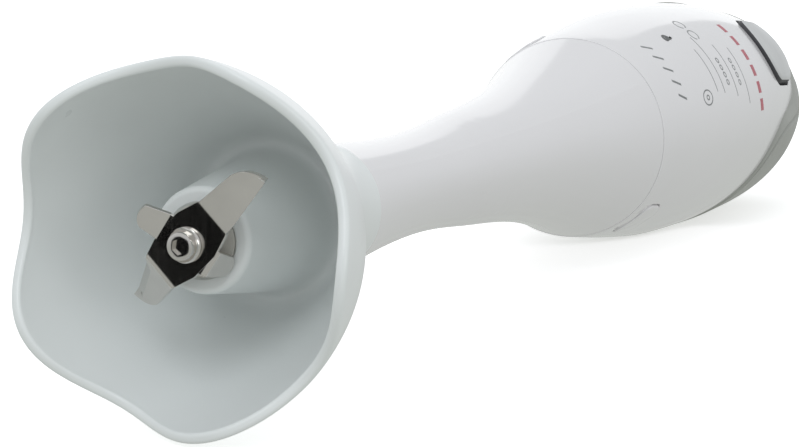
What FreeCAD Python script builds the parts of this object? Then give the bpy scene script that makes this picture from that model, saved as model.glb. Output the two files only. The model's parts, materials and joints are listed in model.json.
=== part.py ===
import FreeCAD, Part
import math
import os
import Sketcher
from FreeCAD import Placement, Rotation, Vector

# Immersion blender: a motor unit and a plug-on mixing foot that lie along one axis.
# Every piece is drawn about the tool's own axis, z, which starts at the rim of the bell and runs
# to the end of the handle. Local x points to the front, the side that carries the power button.
# LIE then lays the tool on a floor: its axis becomes +Y, and the belly and the bell rest on z = 0.

# Driving sizes, millimetres and degrees.
SIZES = {
    # whole tool
    "tool_length": 392.0, "seam_z": 215.0, "seam_gap": 0.3, "front_lean": 54.0,
    "seat_gap": 0.05, "running_gap": 0.03, "part_gap": 0.3,
    # bell: outer curve, wall and hollow
    "bell_r": 32.0, "bell_skirt_r": 30.4, "bell_skirt_z": 16.8, "bell_shoulder_r": 16.9,
    "bell_shoulder_z": 35.9, "bell_neck_r": 11.9, "bell_neck_z": 54.3, "bell_top_r": 12.2,
    "bell_top_z": 62.0, "bell_wall": 2.0, "skirt_inset": 0.8, "skirt_drop": 2.5,
    "shoulder_inset": -1.6, "shoulder_drop": 4.9, "hollow_top_inset": 1.7, "hollow_top_rise": 4.1,
    "rim_wave": 3.28, "rim_lobes": 5, "rim_turn": 6.1,
    "boss_front_r": 9.2, "boss_base_r": 12.7, "boss_front_z": 13.0,
    "plug_r": 9.85, "plug_length": 10.0,
    # foot tube
    "tube_waist_r": 8.8, "tube_waist_z": 101.8, "tube_middle_r": 13.4, "tube_middle_z": 132.3,
    "tube_flare_r": 15.1, "tube_flare_z": 176.3, "seam_r": 25.2, "tube_wall": 1.8,
    "cap_seat_r": 22.0, "cap_flange": 5.0, "cap_hub_r": 9.0, "cap_hub_length": 16.0,
    "spigot_r": 18.9, "spigot_wall": 2.5, "spigot_length": 14.0, "bead_rise": 0.4,
    "bead_width": 1.6, "bead_back": 3.5,
    # shaft line in the foot
    "shaft_r": 3.0, "shaft_tip_r": 2.0, "shaft_top_r": 2.5, "shaft_top_length": 13.0,
    "bush_r": 6.2, "lower_bush_length": 15.0, "upper_bush_length": 9.5, "middle_bush_length": 9.0,
    "seal_length": 3.6, "washer_thickness": 0.6, "sleeve_r": 7.0, "sleeve_bore_r": 4.6,
    "middle_bush_z": 118.0, "ring_groove_depth": 0.5, "ring_r": 4.1,
    # blade
    "blade_z": 7.6, "blade_sheet": 1.0, "blade_heading": -8.0, "blade_fold": 6.9,
    "blade_plate_half": 3.6, "wing_root": 7.0, "wing_length": 13.0, "wing_nose": 4.5,
    "wing_shoulder": 2.3, "wing_edge": 2.6, "wing_nose_r": 6.7, "wing_up_bend": 38.0,
    "wing_down_bend": 12.0, "tab_fold": 4.9, "tab_root": 5.2, "tab_length": 4.6, "tab_nose": 0.8,
    "tab_shoulder": 2.0, "tab_edge": 2.0, "tab_nose_r": 2.8, "tab_up_bend": 70.0,
    "tab_down_bend": 32.0, "tab_turn": 12.0, "spacer_r": 3.9, "nut_across": 5.0, "nut_height": 1.3,
    "tip_stand": 0.35,
    # couplings between foot and motor
    "hex_across": 10.0, "hex_gap": 0.3, "hex_length": 13.0, "hex_base_r": 7.5, "hex_base": 1.6,
    "cup_r": 9.6, "cup_length": 20.0, "cup_depth": 11.5, "cup_start": 6.0,
    # motor housing: outer curve and walls
    "house_start_r": 25.4, "house_swell_r": 29.8, "house_swell_z": 245.6, "house_belly_r": 31.8,
    "house_belly_z": 269.2, "house_back_r": 32.4, "house_back_z": 312.8, "house_heel_r": 28.6,
    "house_heel_z": 357.7, "house_end_r": 24.0, "house_end_z": 383.5, "end_hole_r": 10.5,
    "rest_r": 32.46, "reach_r": 34.0, "house_wall": 2.4, "split_gap": 0.25,
    # how far the grip stands out of the white shell, at its start and at the curve's last poles
    "grip_proud": 0.7, "grip_back_proud": 0.0, "grip_heel_proud": 4.0, "grip_end_proud": 1.0,
    # line where the white front shell meets the back grip, seen from the side
    "split_end_x": 28.0, "split_heel_x": 22.4, "split_heel_z": 366.0, "split_thumb_x": 26.0,
    "split_thumb_z": 332.0, "split_hand_x": 14.6, "split_hand_z": 314.0, "split_palm_x": 3.0,
    "split_palm_z": 306.0, "split_side_x": -14.0, "split_side_z": 302.0, "split_low_x": -15.0,
    "split_low_z": 258.0, "split_out_x": -36.0, "split_out_z": 236.0,
    # power button
    "button_z": 341.0, "button_length": 38.0, "button_width": 22.0, "button_corner": 10.9,
    "button_proud": 1.5, "button_slot": 0.8, "button_flange": 1.6, "button_flange_thickness": 1.0,
    "button_seal_thickness": 0.8, "button_stem_r": 2.0, "button_stem_end": 28.5,
    "switch_z": 342.0,
    # release buttons
    "release_z": 226.0, "release_length": 10.0, "release_width": 12.0, "release_corner": 3.0,
    "release_proud": 0.5, "release_slot": 0.4, "release_flange": 1.2,
    "release_flange_thickness": 0.6, "release_stem_r": 1.6, "release_stem_end": 25.0,
    "release_reach": 1.9,
    # socket ring that takes the foot
    "socket_gap": 0.7, "socket_wall": 1.8, "socket_rim_r": 22.8, "socket_rim": 3.5,
    "socket_length": 18.0, "socket_floor": 2.5, "socket_hole_r": 10.3,
    # motor
    "bracket_r": 25.6, "front_bracket_z": 246.0, "bracket_thickness": 6.5, "bearing_r": 8.5,
    "bearing_width": 5.0, "bearing_lip": 1.0, "front_damper_r": 26.5, "rear_damper_r": 28.3,
    "rear_bracket_z": 310.0, "damper_lip": 0.15,
    "fan_z": 254.2, "fan_width": 5.8, "fan_r": 21.2, "fan_hub_r": 7.0, "fan_blade": 1.2,
    "fan_blades": 9, "stator_z": 266.0, "stator_length": 26.0, "stator_half_x": 23.0,
    "stator_half_y": 21.0, "stator_corner": 8.0, "stator_bore": 15.3, "slot_inner": 10.5,
    "slot_outer": 17.6, "slot_depth": 20.5, "coil_gap": 0.25, "coil_inner_x": 15.8,
    "coil_overhang": 4.6, "armature_r": 14.7, "armature_slots": 12, "armature_slot": 1.6,
    "armature_slot_depth": 5.0, "winding_r": 13.2, "winding_inner_r": 4.5, "winding_length": 5.2,
    "commutator_r": 8.0, "commutator_length": 8.6, "commutator_z": 299.0,
    "commutator_groove": 0.5, "commutator_groove_depth": 0.6,
    "brush_width": 5.0, "brush_height": 6.0, "brush_length": 7.5, "brush_gap": 0.08,
    "holder_wall": 1.0, "holder_start": 10.5, "holder_length": 10.5,
    "brush_spring_r": 1.9, "screw_r": 1.5, "screw_head_r": 2.6, "screw_head": 2.0,
    "screw_place": 23.4,
    # switch, board and cord inlet
    "board_x": 6.0, "board_thickness": 1.6, "board_half": 14.0, "board_length": 42.0,
    "switch_half": 4.4, "switch_length": 16.0, "switch_top_x": 16.5, "plunger_r": 1.4,
    "plunger_gap": 0.1, "plunger_sink": 3.3, "plunger_stand": 2.1, "plunger_hole": 5.2,
    "capacitor_r": 4.5, "capacitor_length": 16.0, "capacitor_z": 328.0,
    "cord_hole_r": 3.6, "cap_rim_r": 12.4, "cap_rim": 1.8, "cap_rim_drop": 2.6, "inlet_tube_r": 5.4,
    "inlet_tube_length": 6.0, "clamp_length": 10.0, "clamp_height": 4.0, "clamp_width": 7.0,
    "clamp_half": 9.0, "clamp_screw_r": 1.2, "clamp_screw_head_r": 2.1, "clamp_screw_place": 6.8,
    # coil springs
    "wire_r": 0.3, "fine_wire_r": 0.2, "button_spring_r": 3.4, "button_spring_end": 25.0,
    "release_spring_r": 2.3, "release_spring_end": 23.1,
}

doc = FreeCAD.newDocument("ImmersionBlender")
sheet = doc.addObject("Spreadsheet::Sheet", "Sizes")
for row, (alias, value) in enumerate(SIZES.items(), start=1):
    sheet.set(f"A{row}", alias)
    sheet.set(f"B{row}", str(value))
    sheet.setAlias(f"B{row}", alias)
doc.recompute()


class Size:
    """A length: its value now, and the expression that keeps it bound to the sheet."""

    def __init__(self, value, text):
        self.value = value
        self.text = text

    @staticmethod
    def of(item):
        return item if isinstance(item, Size) else Size(item, repr(item))

    def join(self, sign, other, value):
        return Size(value, f"({self.text} {sign} {other.text})")

    def __add__(self, other):
        other = Size.of(other)
        return self.join("+", other, self.value + other.value)

    def __sub__(self, other):
        other = Size.of(other)
        return self.join("-", other, self.value - other.value)

    def __mul__(self, other):
        other = Size.of(other)
        return self.join("*", other, self.value * other.value)

    def __truediv__(self, other):
        other = Size.of(other)
        return self.join("/", other, self.value / other.value)

    def __radd__(self, other):
        return Size.of(other) + self

    def __rsub__(self, other):
        return Size.of(other) - self

    def __rmul__(self, other):
        return Size.of(other) * self

    def __neg__(self):
        return 0 - self


class Sheet:
    """Gives each alias of the sheet as a Size: size.bell_r."""

    def __getattr__(self, alias):
        return Size(getattr(sheet, alias), f"Sizes.{alias}")


size = Sheet()

lean = math.radians(size.front_lean.value)
LIE = Placement(
    Vector(0, -size.tool_length.value / 2, size.rest_r.value),
    Rotation(Vector(math.sin(lean), 0, math.cos(lean)), Vector(math.cos(lean), 0, -math.sin(lean)),
             Vector(0, 1, 0), "XYZ"))


# Drawing tools -------------------------------------------------------------------------------

def bind(item, name, length):
    """Sets a property from a Size, and ties it to the sheet."""
    item.setExpression(name, Size.of(length).text)


def place(item, turn=0.0):
    """Lays a piece down with the tool, after turning it about the tool's axis."""
    item.Placement = LIE * Placement(Vector(0, 0, 0), Rotation(Vector(0, 0, 1), turn))


def new_body(label, turn=0.0):
    body = doc.addObject("PartDesign::Body", label)
    body.Label = label
    place(body, turn)
    return body


def new_sketch(body, plane, offset=0.0, tilt=None):
    """A sketch on one of the body's own planes, lifted along the plane's normal."""
    sketch = body.newObject("Sketcher::SketchObject", body.Name + "_sketch")
    origin_plane = next(f for f in body.Origin.OriginFeatures if f.Role == plane)
    sketch.AttachmentSupport = [(origin_plane, "")]
    sketch.MapMode = "FlatFace"
    if tilt:
        sketch.AttachmentOffset = tilt
    else:
        bind(sketch, "AttachmentOffset.Base.z", offset)
    return sketch


def fix_point(sketch, curve, end, point):
    """Holds one end or centre of a curve at a point of two Sizes."""
    for direction, length in zip(("DistanceX", "DistanceY"), point):
        length = Size.of(length)
        index = sketch.addConstraint(Sketcher.Constraint(direction, curve, end, length.value))
        bind(sketch, f"Constraints[{index}]", length)


def vector(point):
    return Vector(*(float(Size.of(length).value) for length in point), 0)


def add_line(sketch, start, finish):
    return sketch.addGeometry(Part.LineSegment(vector(start), vector(finish)), False)


def add_arc(sketch, start, finish, radius):
    """An arc between two points, on the left of the way from start to finish."""
    a, b = vector(start), vector(finish)
    reach = Size.of(radius).value
    across = (b - a).cross(Vector(0, 0, 1)).normalize()
    sink = math.sqrt(reach**2 - (b - a).Length**2 / 4)
    centre = (a + b) * 0.5 - across * sink
    middle = centre + across * reach
    curve = sketch.addGeometry(Part.Arc(a, middle, b), False)
    index = sketch.addConstraint(Sketcher.Constraint("Radius", curve, reach))
    bind(sketch, f"Constraints[{index}]", radius)
    return curve


def add_spline(sketch, poles):
    """A cubic B-spline whose control points are all bound to the sheet."""
    spans = len(poles) - 3
    knots = [index / spans for index in range(spans + 1)]
    counts = [4] + [1] * (spans - 1) + [4]
    spline = Part.BSplineCurve()
    spline.buildFromPolesMultsKnots([vector(p) for p in poles], counts, knots, False, 3)
    curve = sketch.addGeometry(spline, False)
    handles = []
    for index, pole in enumerate(poles):
        handle = sketch.addGeometry(Part.Circle(vector(pole), Vector(0, 0, 1), 1), True)
        sketch.addConstraint(Sketcher.Constraint(
            "InternalAlignment:Sketcher::BSplineControlPoint", handle, 3, curve, index))
        if handles:
            sketch.addConstraint(Sketcher.Constraint("Equal", handles[0], handle))
        else:
            sketch.addConstraint(Sketcher.Constraint("Weight", handle, 1.0))
        handles.append(handle)
        fix_point(sketch, handle, 3, pole)
    return curve


def arc_ends(sketch, curve, start):
    """Which end of an arc is its start: the sketcher stores arcs anticlockwise."""
    first = sketch.getPoint(curve, 1)
    return (1, 2) if (first - vector(start)).Length < 1e-6 else (2, 1)


def draw(sketch, loop):
    """Draws one closed outline. A loop lists corners, with ("arc", radius) or ("spline", poles)
    between two corners that no straight line joins."""
    corners = [item for item in loop if not isinstance(item[0], str)]
    ties = []
    place_in_loop = 0
    for number, corner in enumerate(corners):
        following = corners[(number + 1) % len(corners)]
        place_in_loop += 1
        shape = loop[place_in_loop % len(loop)]
        if shape[0] == "arc":
            curve = add_arc(sketch, corner, following, shape[1])
            start, finish = arc_ends(sketch, curve, corner)
            place_in_loop += 1
            held = False
        elif shape[0] == "spline":
            curve = add_spline(sketch, [corner] + shape[1] + [following])
            start, finish = 1, 2
            place_in_loop += 1
            held = True
        else:
            curve = add_line(sketch, corner, following)
            start, finish = 1, 2
            held = False
        ties.append((curve, start, finish, held))
    for number, (curve, start, finish, held) in enumerate(ties):
        before = ties[number - 1]
        if held and before[3]:
            raise ValueError("two splines in a row need a straight piece between them")
        sketch.addConstraint(Sketcher.Constraint("Coincident", before[0], before[2], curve, start))
        if not held and not before[3]:
            fix_point(sketch, curve, start, corners[number])


def circle(sketch, radius, centre=(0, 0)):
    curve = sketch.addGeometry(Part.Circle(vector(centre), Vector(0, 0, 1), Size.of(radius).value))
    index = sketch.addConstraint(Sketcher.Constraint("Radius", curve, Size.of(radius).value))
    bind(sketch, f"Constraints[{index}]", radius)
    fix_point(sketch, curve, 3, centre)


def rectangle(left, right, bottom, top):
    return [(left, bottom), (right, bottom), (right, top), (left, top)]


def rounded(middle, width, height, corner):
    """A rounded rectangle about a middle point, drawn anticlockwise."""
    left, right = middle[0] - width / 2, middle[0] + width / 2
    bottom, top = middle[1] - height / 2, middle[1] + height / 2
    arc = ("arc", corner)
    return [(left + corner, bottom), (right - corner, bottom), arc,
            (right, bottom + corner), (right, top - corner), arc,
            (right - corner, top), (left + corner, top), arc,
            (left, top - corner), (left, bottom + corner), arc]


def hexagon(across):
    """A hexagon by its width across flats."""
    corner, half = across / math.sqrt(3), across / 2
    step = corner / 2
    return [(corner, 0), (step, half), (-step, half), (-corner, 0), (-step, -half), (step, -half)]


def revolve(body, loop, cut=False):
    """Turns an outline of (radius, z) corners about the tool's axis."""
    sketch = new_sketch(body, "XZ_Plane")
    draw(sketch, loop)
    kind = "PartDesign::Groove" if cut else "PartDesign::Revolution"
    feature = body.newObject(kind, body.Name + "_turned")
    feature.Profile = sketch
    feature.ReferenceAxis = (sketch, ["V_Axis"])
    feature.Angle = 360
    return feature


def extrude(body, plane, loops, offset, length, cut=False, tilt=None, middle=False):
    """Pads or pockets outlines along the plane's normal. A loop may be ("circle", radius, centre)."""
    sketch = new_sketch(body, plane, offset, tilt)
    for loop in loops:
        if loop[0] == "circle":
            circle(sketch, *loop[1:])
        else:
            draw(sketch, loop)
    feature = body.newObject("PartDesign::Pocket" if cut else "PartDesign::Pad", body.Name + "_cut"
                             if cut else body.Name + "_pad")
    feature.Profile = sketch
    feature.Midplane = middle
    feature.Reversed = cut and not middle
    bind(feature, "Length", length)
    return feature


def repeat(body, feature, count):
    """Repeats a feature evenly round the tool's axis."""
    pattern = body.newObject("PartDesign::PolarPattern", body.Name + "_round")
    pattern.Originals = [feature]
    axis = next(f for f in body.Origin.OriginFeatures if f.Role == "Z_Axis")
    pattern.Axis = (axis, [""])
    pattern.Angle = 360
    bind(pattern, "Occurrences", count)
    body.Tip = pattern
    return pattern


def turned(label, loop, turn=0.0):
    body = new_body(label, turn)
    revolve(body, loop)
    return body


def ring(label, inner, outer, start, length):
    """A plain ring: a bush, a seal, a washer."""
    return turned(label, rectangle(inner, outer, start, start + length))


def boolean(kind, label, base, tools):
    """Part boolean of laid-down pieces. Its inputs are already in place."""
    if len(tools) > 1:
        group = doc.addObject("Part::MultiFuse", label + "_tools")
        group.Shapes = tools
        tools = [group]
    item = doc.addObject(kind, label)
    item.Label = label
    item.Base = base
    item.Tool = tools[0]
    return item


def shaped(label, shape, turn=0.0):
    item = doc.addObject("Part::Feature", label)
    item.Label = label
    item.Shape = shape
    place(item, turn)
    item.Placement = item.Placement * shape.Placement
    return item


pieces = []


def keep(*items):
    """Marks finished sub-parts, which are written out at the end."""
    pieces.extend(items)


# Mixing foot ---------------------------------------------------------------------------------

sleeve_seat = size.sleeve_r + size.seat_gap
bush_seat = size.bush_r + size.seat_gap
shaft_hole = size.shaft_r + size.running_gap
hollow_top_z = size.bell_shoulder_z + size.hollow_top_rise
bush_start = size.boss_front_z + size.washer_thickness + size.seal_length + size.part_gap
bush_end = bush_start + size.lower_bush_length
plug_end = size.bell_top_z + size.plug_length
cap_floor_z = size.seam_z - size.cap_flange


def rim_wave_cutter():
    """What the arches take off the rim: everything below a wave that runs round the axis."""
    wave, lobes = size.rim_wave.value, int(size.rim_lobes.value)
    steps = 16 * lobes

    def round_edge(radius):
        points = []
        for step in range(steps):
            angle = 2 * math.pi * step / steps
            height = wave * (1 + math.cos(lobes * angle))
            points.append(Vector(radius * math.cos(angle), radius * math.sin(angle), height))
        curve = Part.BSplineCurve()
        curve.interpolate(Points=points, PeriodicFlag=True)
        return curve.toShape()

    reach = size.bell_r.value
    surface = Part.makeRuledSurface(round_edge(reach * 1.3), round_edge(reach * 0.7))
    return shaped("rim_cutter", surface.extrude(Vector(0, 0, -4 * wave)), size.rim_turn.value)


def make_bell_guard():
    """Bell with a waved rim, a central boss for the seal and bush, and a plug for the tube."""
    mouth_r = size.bell_r - size.bell_wall
    body = turned("bell_body", [
        (bush_seat, size.boss_front_z), (size.boss_front_r, size.boss_front_z),
        (size.boss_base_r, hollow_top_z),
        (size.bell_shoulder_r - size.hollow_top_inset, hollow_top_z),
        ("spline", [
            (size.bell_shoulder_r - size.shoulder_inset, size.bell_shoulder_z - size.shoulder_drop),
            (size.bell_skirt_r - size.skirt_inset, size.bell_skirt_z - size.skirt_drop)]),
        (mouth_r, 0), (size.bell_r, 0),
        ("spline", [
            (size.bell_skirt_r, size.bell_skirt_z), (size.bell_shoulder_r, size.bell_shoulder_z),
            (size.bell_neck_r, size.bell_neck_z)]),
        (size.bell_top_r, size.bell_top_z), (size.plug_r, size.bell_top_z),
        (size.plug_r, plug_end), (sleeve_seat, plug_end),
        (sleeve_seat, bush_end + size.part_gap), (bush_seat, bush_end + size.part_gap)])
    keep(boolean("Part::Cut", "bell_guard", body, [rim_wave_cutter()]))


def make_foot_tube():
    """Tube that swells from the bell's neck to the seam, with a seat at each end."""
    poles = [(size.tube_waist_r, size.tube_waist_z), (size.tube_middle_r, size.tube_middle_z),
             (size.tube_flare_r, size.tube_flare_z)]
    inside = [(radius - size.tube_wall, height) for radius, height in reversed(poles)]
    body = turned("foot_tube", [
        (size.bell_top_r, size.bell_top_z), ("spline", poles),
        (size.seam_r, size.seam_z), (size.seam_r - size.tube_wall, size.seam_z),
        ("spline", inside), (size.bell_top_r - size.tube_wall, size.bell_top_z)])
    socket_end = plug_end + size.part_gap
    revolve(body, rectangle(0, size.plug_r + size.seat_gap, size.bell_top_z - 1, socket_end), True)
    revolve(body, rectangle(0, size.cap_seat_r, cap_floor_z, size.seam_z + 1), True)
    keep(body)


def make_foot_cap():
    """Cap that closes the tube, holds the upper bush and plugs into the motor unit."""
    flange_r = size.cap_seat_r - size.seat_gap
    hub_start = cap_floor_z - size.cap_hub_length
    spigot_end = size.seam_z + size.spigot_length
    bead_end = spigot_end - size.bead_back
    bead_r = size.spigot_r + size.bead_rise
    step = bush_seat_end()
    keep(turned("foot_cap", [
        (sleeve_seat, hub_start), (size.cap_hub_r, hub_start), (size.cap_hub_r, cap_floor_z),
        (flange_r, cap_floor_z), (flange_r, size.seam_z), (size.spigot_r, size.seam_z),
        (size.spigot_r, bead_end - size.bead_width), (bead_r, bead_end - size.bead_width),
        (bead_r, bead_end), (size.spigot_r, bead_end), (size.spigot_r, spigot_end),
        (size.spigot_r - size.spigot_wall, spigot_end),
        (size.spigot_r - size.spigot_wall, size.seam_z - 1),
        (bush_seat, size.seam_z - 1), (bush_seat, step), (sleeve_seat, step)]))


def bush_seat_end():
    """Height of the step between the sleeve's seat and the upper bush's seat."""
    return size.seam_z - 2 - size.upper_bush_length


def make_foot_bearings():
    """Sleeve, bushes, seal and washers that carry the shaft."""
    hub_step = bush_seat_end()
    start = bush_end + 2 * size.part_gap
    keep(ring("shaft_sleeve", size.sleeve_bore_r, size.sleeve_r, start,
              hub_step - size.part_gap - start))
    seal_start = size.boss_front_z + size.washer_thickness
    keep(ring("seal_washer", shaft_hole + size.part_gap, size.bush_r, size.boss_front_z,
              size.washer_thickness))
    keep(ring("shaft_seal", shaft_hole, size.bush_r, seal_start, size.seal_length))
    keep(ring("lower_bush", shaft_hole, size.bush_r, bush_start, size.lower_bush_length))
    keep(ring("middle_bush", shaft_hole, size.sleeve_bore_r - size.seat_gap, size.middle_bush_z,
              size.middle_bush_length))
    keep(ring("upper_bush", shaft_hole, size.bush_r, hub_step + size.seat_gap,
              size.upper_bush_length))


# Shaft and blade -----------------------------------------------------------------------------

shaft_top_z = size.seam_z + size.shaft_top_length
blade_top_z = size.blade_z + size.blade_sheet
groove_z = bush_end + 4 * size.part_gap
hex_start = size.seam_z + size.part_gap


def make_drive_shaft():
    """Steel shaft from the blade to the coupling, with a groove for the retaining ring."""
    groove_r = size.shaft_r - size.ring_groove_depth
    groove_end = groove_z + size.washer_thickness
    tip_z = size.blade_z - size.nut_height - size.tip_stand
    keep(turned("drive_shaft", [
        (0, tip_z), (size.shaft_tip_r - size.tip_stand, tip_z),
        (size.shaft_tip_r, tip_z + size.tip_stand), (size.shaft_tip_r, blade_top_z),
        (size.shaft_r, blade_top_z), (size.shaft_r, groove_z), (groove_r, groove_z),
        (groove_r, groove_end), (size.shaft_r, groove_end), (size.shaft_r, hex_start),
        (size.shaft_top_r, hex_start), (size.shaft_top_r, shaft_top_z), (0, shaft_top_z)]))
    keep(ring("retaining_ring", groove_r + size.seat_gap, size.ring_r, groove_z + size.seat_gap,
              size.washer_thickness - 2 * size.seat_gap))
    keep(ring("blade_spacer", size.shaft_r + size.seat_gap, size.spacer_r, blade_top_z,
              size.boss_front_z - blade_top_z - size.part_gap))
    washer_z = size.seam_z - 1 - size.washer_thickness
    keep(ring("thrust_washer", size.shaft_r + size.seat_gap, size.bush_r - size.part_gap, washer_z,
              size.washer_thickness))


def blade_arm(body, kind, turn, bend):
    """A sheet arm that starts at a fold line, bends out of the plate and ends in a round nose."""
    def value(name):
        return getattr(size, f"{kind}_{name}")

    overlap = size.blade_sheet / 2
    fold = size.tab_fold if kind == "tab" else size.blade_fold
    half, length = value("root") / 2, value("length")
    outline = [(-overlap, -half), (length - value("nose"), -value("shoulder")),
               ("arc", value("nose_r")), (length, value("edge")), (-overlap, half)]
    heading = Rotation(Vector(0, 0, 1), turn)
    base = heading.multVec(Vector(fold.value, 0, size.blade_z.value))
    lift = heading * Rotation(Vector(0, 1, 0), -bend.value)
    extrude(body, "XY_Plane", [outline], 0, size.blade_sheet, tilt=Placement(base, lift))


def make_blade():
    """Pressed blade: a flat plate, two long wings and two short tabs."""
    body = new_body("blade", size.blade_heading.value)
    fold, half = size.blade_fold, size.blade_plate_half
    plate = [(fold, -half), (fold, half), (size.tab_root / 2, size.tab_fold),
             (-size.tab_root / 2, size.tab_fold), (-fold, half), (-fold, -half),
             (-size.tab_root / 2, -size.tab_fold), (size.tab_root / 2, -size.tab_fold)]
    extrude(body, "XY_Plane", [plate], size.blade_z, size.blade_sheet)
    tab_turn = size.tab_turn.value
    blade_arm(body, "wing", 0, -size.wing_down_bend)
    blade_arm(body, "wing", 180, size.wing_up_bend)
    blade_arm(body, "tab", 270 - tab_turn, -size.tab_down_bend)
    blade_arm(body, "tab", 90 - tab_turn, size.tab_up_bend)
    extrude(body, "XY_Plane", [("circle", size.shaft_tip_r + size.seat_gap)],
            size.blade_z - 1, size.blade_sheet + 2, cut=True)
    keep(body)
    nut = new_body("blade_nut")
    extrude(nut, "XY_Plane", [hexagon(size.nut_across), ("circle", size.shaft_tip_r + size.seat_gap)],
            size.blade_z - size.nut_height, size.nut_height)
    keep(nut)


def make_couplings():
    """Hexagonal plug on the foot's shaft and the cup on the motor's shaft that drives it."""
    plug = new_body("foot_coupling")
    bore = ("circle", size.shaft_top_r + size.seat_gap)
    extrude(plug, "XY_Plane", [("circle", size.hex_base_r), bore], hex_start, size.hex_base)
    extrude(plug, "XY_Plane", [hexagon(size.hex_across), bore], hex_start, size.hex_length)
    keep(plug)
    cup_start = size.seam_z + size.cup_start
    cup_floor = cup_start + size.cup_depth
    cup = new_body("motor_coupling")
    socket = hexagon(size.hex_across + 2 * size.hex_gap)
    extrude(cup, "XY_Plane", [("circle", size.cup_r), socket], cup_start, size.cup_depth)
    extrude(cup, "XY_Plane", [("circle", size.cup_r), ("circle", size.shaft_r + size.seat_gap)],
            cup_floor, size.cup_length - size.cup_depth)
    keep(cup)


# Housing -------------------------------------------------------------------------------------

house_start = size.seam_z + size.seam_gap
house_end = size.tool_length - 1


def shell(label, outside, inside, stands=None):
    """Hollow turned shell. Both faces follow the handle's curve, moved out or in by a length.
    stands gives the outer face's own distances at the curve's last three poles."""
    def face(grow, distances):
        back, heel, end = distances
        start = (size.house_start_r + grow, house_start)
        poles = [(size.house_swell_r + grow, size.house_swell_z),
                 (size.house_belly_r + grow, size.house_belly_z),
                 (size.house_back_r + back, size.house_back_z),
                 (size.house_heel_r + heel, size.house_heel_z),
                 (size.house_end_r + end, size.house_end_z + grow)]
        return start, poles, (size.end_hole_r, house_end + grow)

    outer_start, outer_poles, outer_end = face(outside, stands or [outside] * 3)
    inner_start, inner_poles, inner_end = face(-inside, [-inside] * 3)
    return turned(label, [outer_start, ("spline", outer_poles), outer_end, inner_end,
                          ("spline", inner_poles[::-1]), inner_start])


def back_region(label, inset):
    """Everything behind the split line, seen from the side and drawn out to both sides."""
    def moved(name):
        return getattr(size, f"split_{name}_x") - inset, getattr(size, f"split_{name}_z")

    past_end = size.tool_length + 10
    start = (size.split_end_x - inset, past_end)
    curve = [moved(name) for name in ("heel", "thumb", "hand", "palm", "side", "low")]
    finish = moved("out")
    far = -2 * size.reach_r
    body = new_body(label)
    extrude(body, "XZ_Plane", [[start, ("spline", curve), finish, (far, size.split_out_z),
                                (far, past_end)]], 0, 4 * size.reach_r, middle=True)
    return body


def radial_block(label, middle_z, width, length, corner, turn, inner=0):
    """A rounded block that stands out from the axis, along the turned x."""
    body = new_body(label, turn)
    extrude(body, "YZ_Plane", [rounded((0, middle_z), width, length, corner)], inner,
            2 * size.reach_r)
    return body


def window(label, kind, turn):
    """The opening that a button moves in: the button's outline and a slot all round."""
    slot = getattr(size, f"{kind}_slot")
    return radial_block(label, getattr(size, f"{kind}_z"), getattr(size, f"{kind}_width") + 2 * slot,
                        getattr(size, f"{kind}_length") + 2 * slot,
                        getattr(size, f"{kind}_corner") + slot, turn)


SIDES = {"left": 90.0, "right": -90.0}


def make_housing():
    """White front shell and the grip that closes it from behind."""
    windows = [window("power_window", "button", 0)]
    windows += [window(f"release_window_{side}", "release", turn) for side, turn in SIDES.items()]
    front = shell("front_band", 0, size.house_wall)
    keep(boolean("Part::Cut", "motor_housing", front, [back_region("back_half", 0)] + windows))
    back = shell("back_band", size.grip_proud, size.house_wall,
                 [size.grip_back_proud, size.grip_heel_proud, size.grip_end_proud])
    cover = boolean("Part::Common", "back_cover", back, [back_region("grip_half", size.split_gap)])
    keep(boolean("Part::Cut", "back_grip", cover, [window("grip_window", "button", 0)]))


def make_button(label, kind, turn, stem_start):
    """A push button: a crowned pad, a flange behind the shell, and a stem."""
    def value(name):
        return getattr(size, f"{kind}_{name}")

    behind = size.house_wall + size.part_gap
    if kind == "button":
        behind = behind + size.button_seal_thickness
    under = behind + value("flange_thickness")
    pad = boolean("Part::Common", f"{label}_pad", shell(f"{label}_crown", value("proud"), under),
                  [radial_block(f"{label}_outline", value("z"), value("width"), value("length"),
                                value("corner"), turn)])
    flange = boolean("Part::Common", f"{label}_flange", shell(f"{label}_skirt", -behind, under),
                     [radial_block(f"{label}_edge", value("z"), value("width") + 2 * value("flange"),
                                   value("length") + 2 * value("flange"),
                                   value("corner") + value("flange"), turn)])
    stem = new_body(f"{label}_stem", turn)
    stem_z = size.switch_z if kind == "button" else size.release_z
    extrude(stem, "YZ_Plane", [("circle", value("stem_r"), (0, stem_z))], stem_start,
            value("stem_end") - stem_start)
    whole = doc.addObject("Part::MultiFuse", label)
    whole.Label = label
    whole.Shapes = [pad, flange, stem]
    keep(whole)


def coil_spring(label, axis_point, direction, coil_r, wire_r, free_length, turns, turn=0.0):
    """A round wire wound on a helix, from one seat to the other."""
    wire, radius = wire_r.value, coil_r.value
    pitch = (free_length.value - 2 * wire) / turns
    steps = 12 * turns
    points = [Vector(radius * math.cos(2 * math.pi * step / 12),
                     radius * math.sin(2 * math.pi * step / 12), wire + pitch * step / 12)
              for step in range(steps + 1)]
    curve = Part.BSplineCurve()
    curve.interpolate(points)
    section = Part.Wire(Part.makeCircle(wire, points[0], curve.tangent(curve.FirstParameter)[0]))
    coil = Part.Wire(curve.toShape()).makePipeShell([section], True, True)
    coil.Placement = Placement(axis_point, Rotation(Vector(0, 0, 1), direction)) * coil.Placement
    keep(shaped(label, coil, turn))


make_bell_guard()
make_foot_tube()
make_foot_cap()
make_foot_bearings()
make_drive_shaft()
make_blade()
make_couplings()
make_housing()


# Socket, buttons and springs -------------------------------------------------------------------

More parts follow.
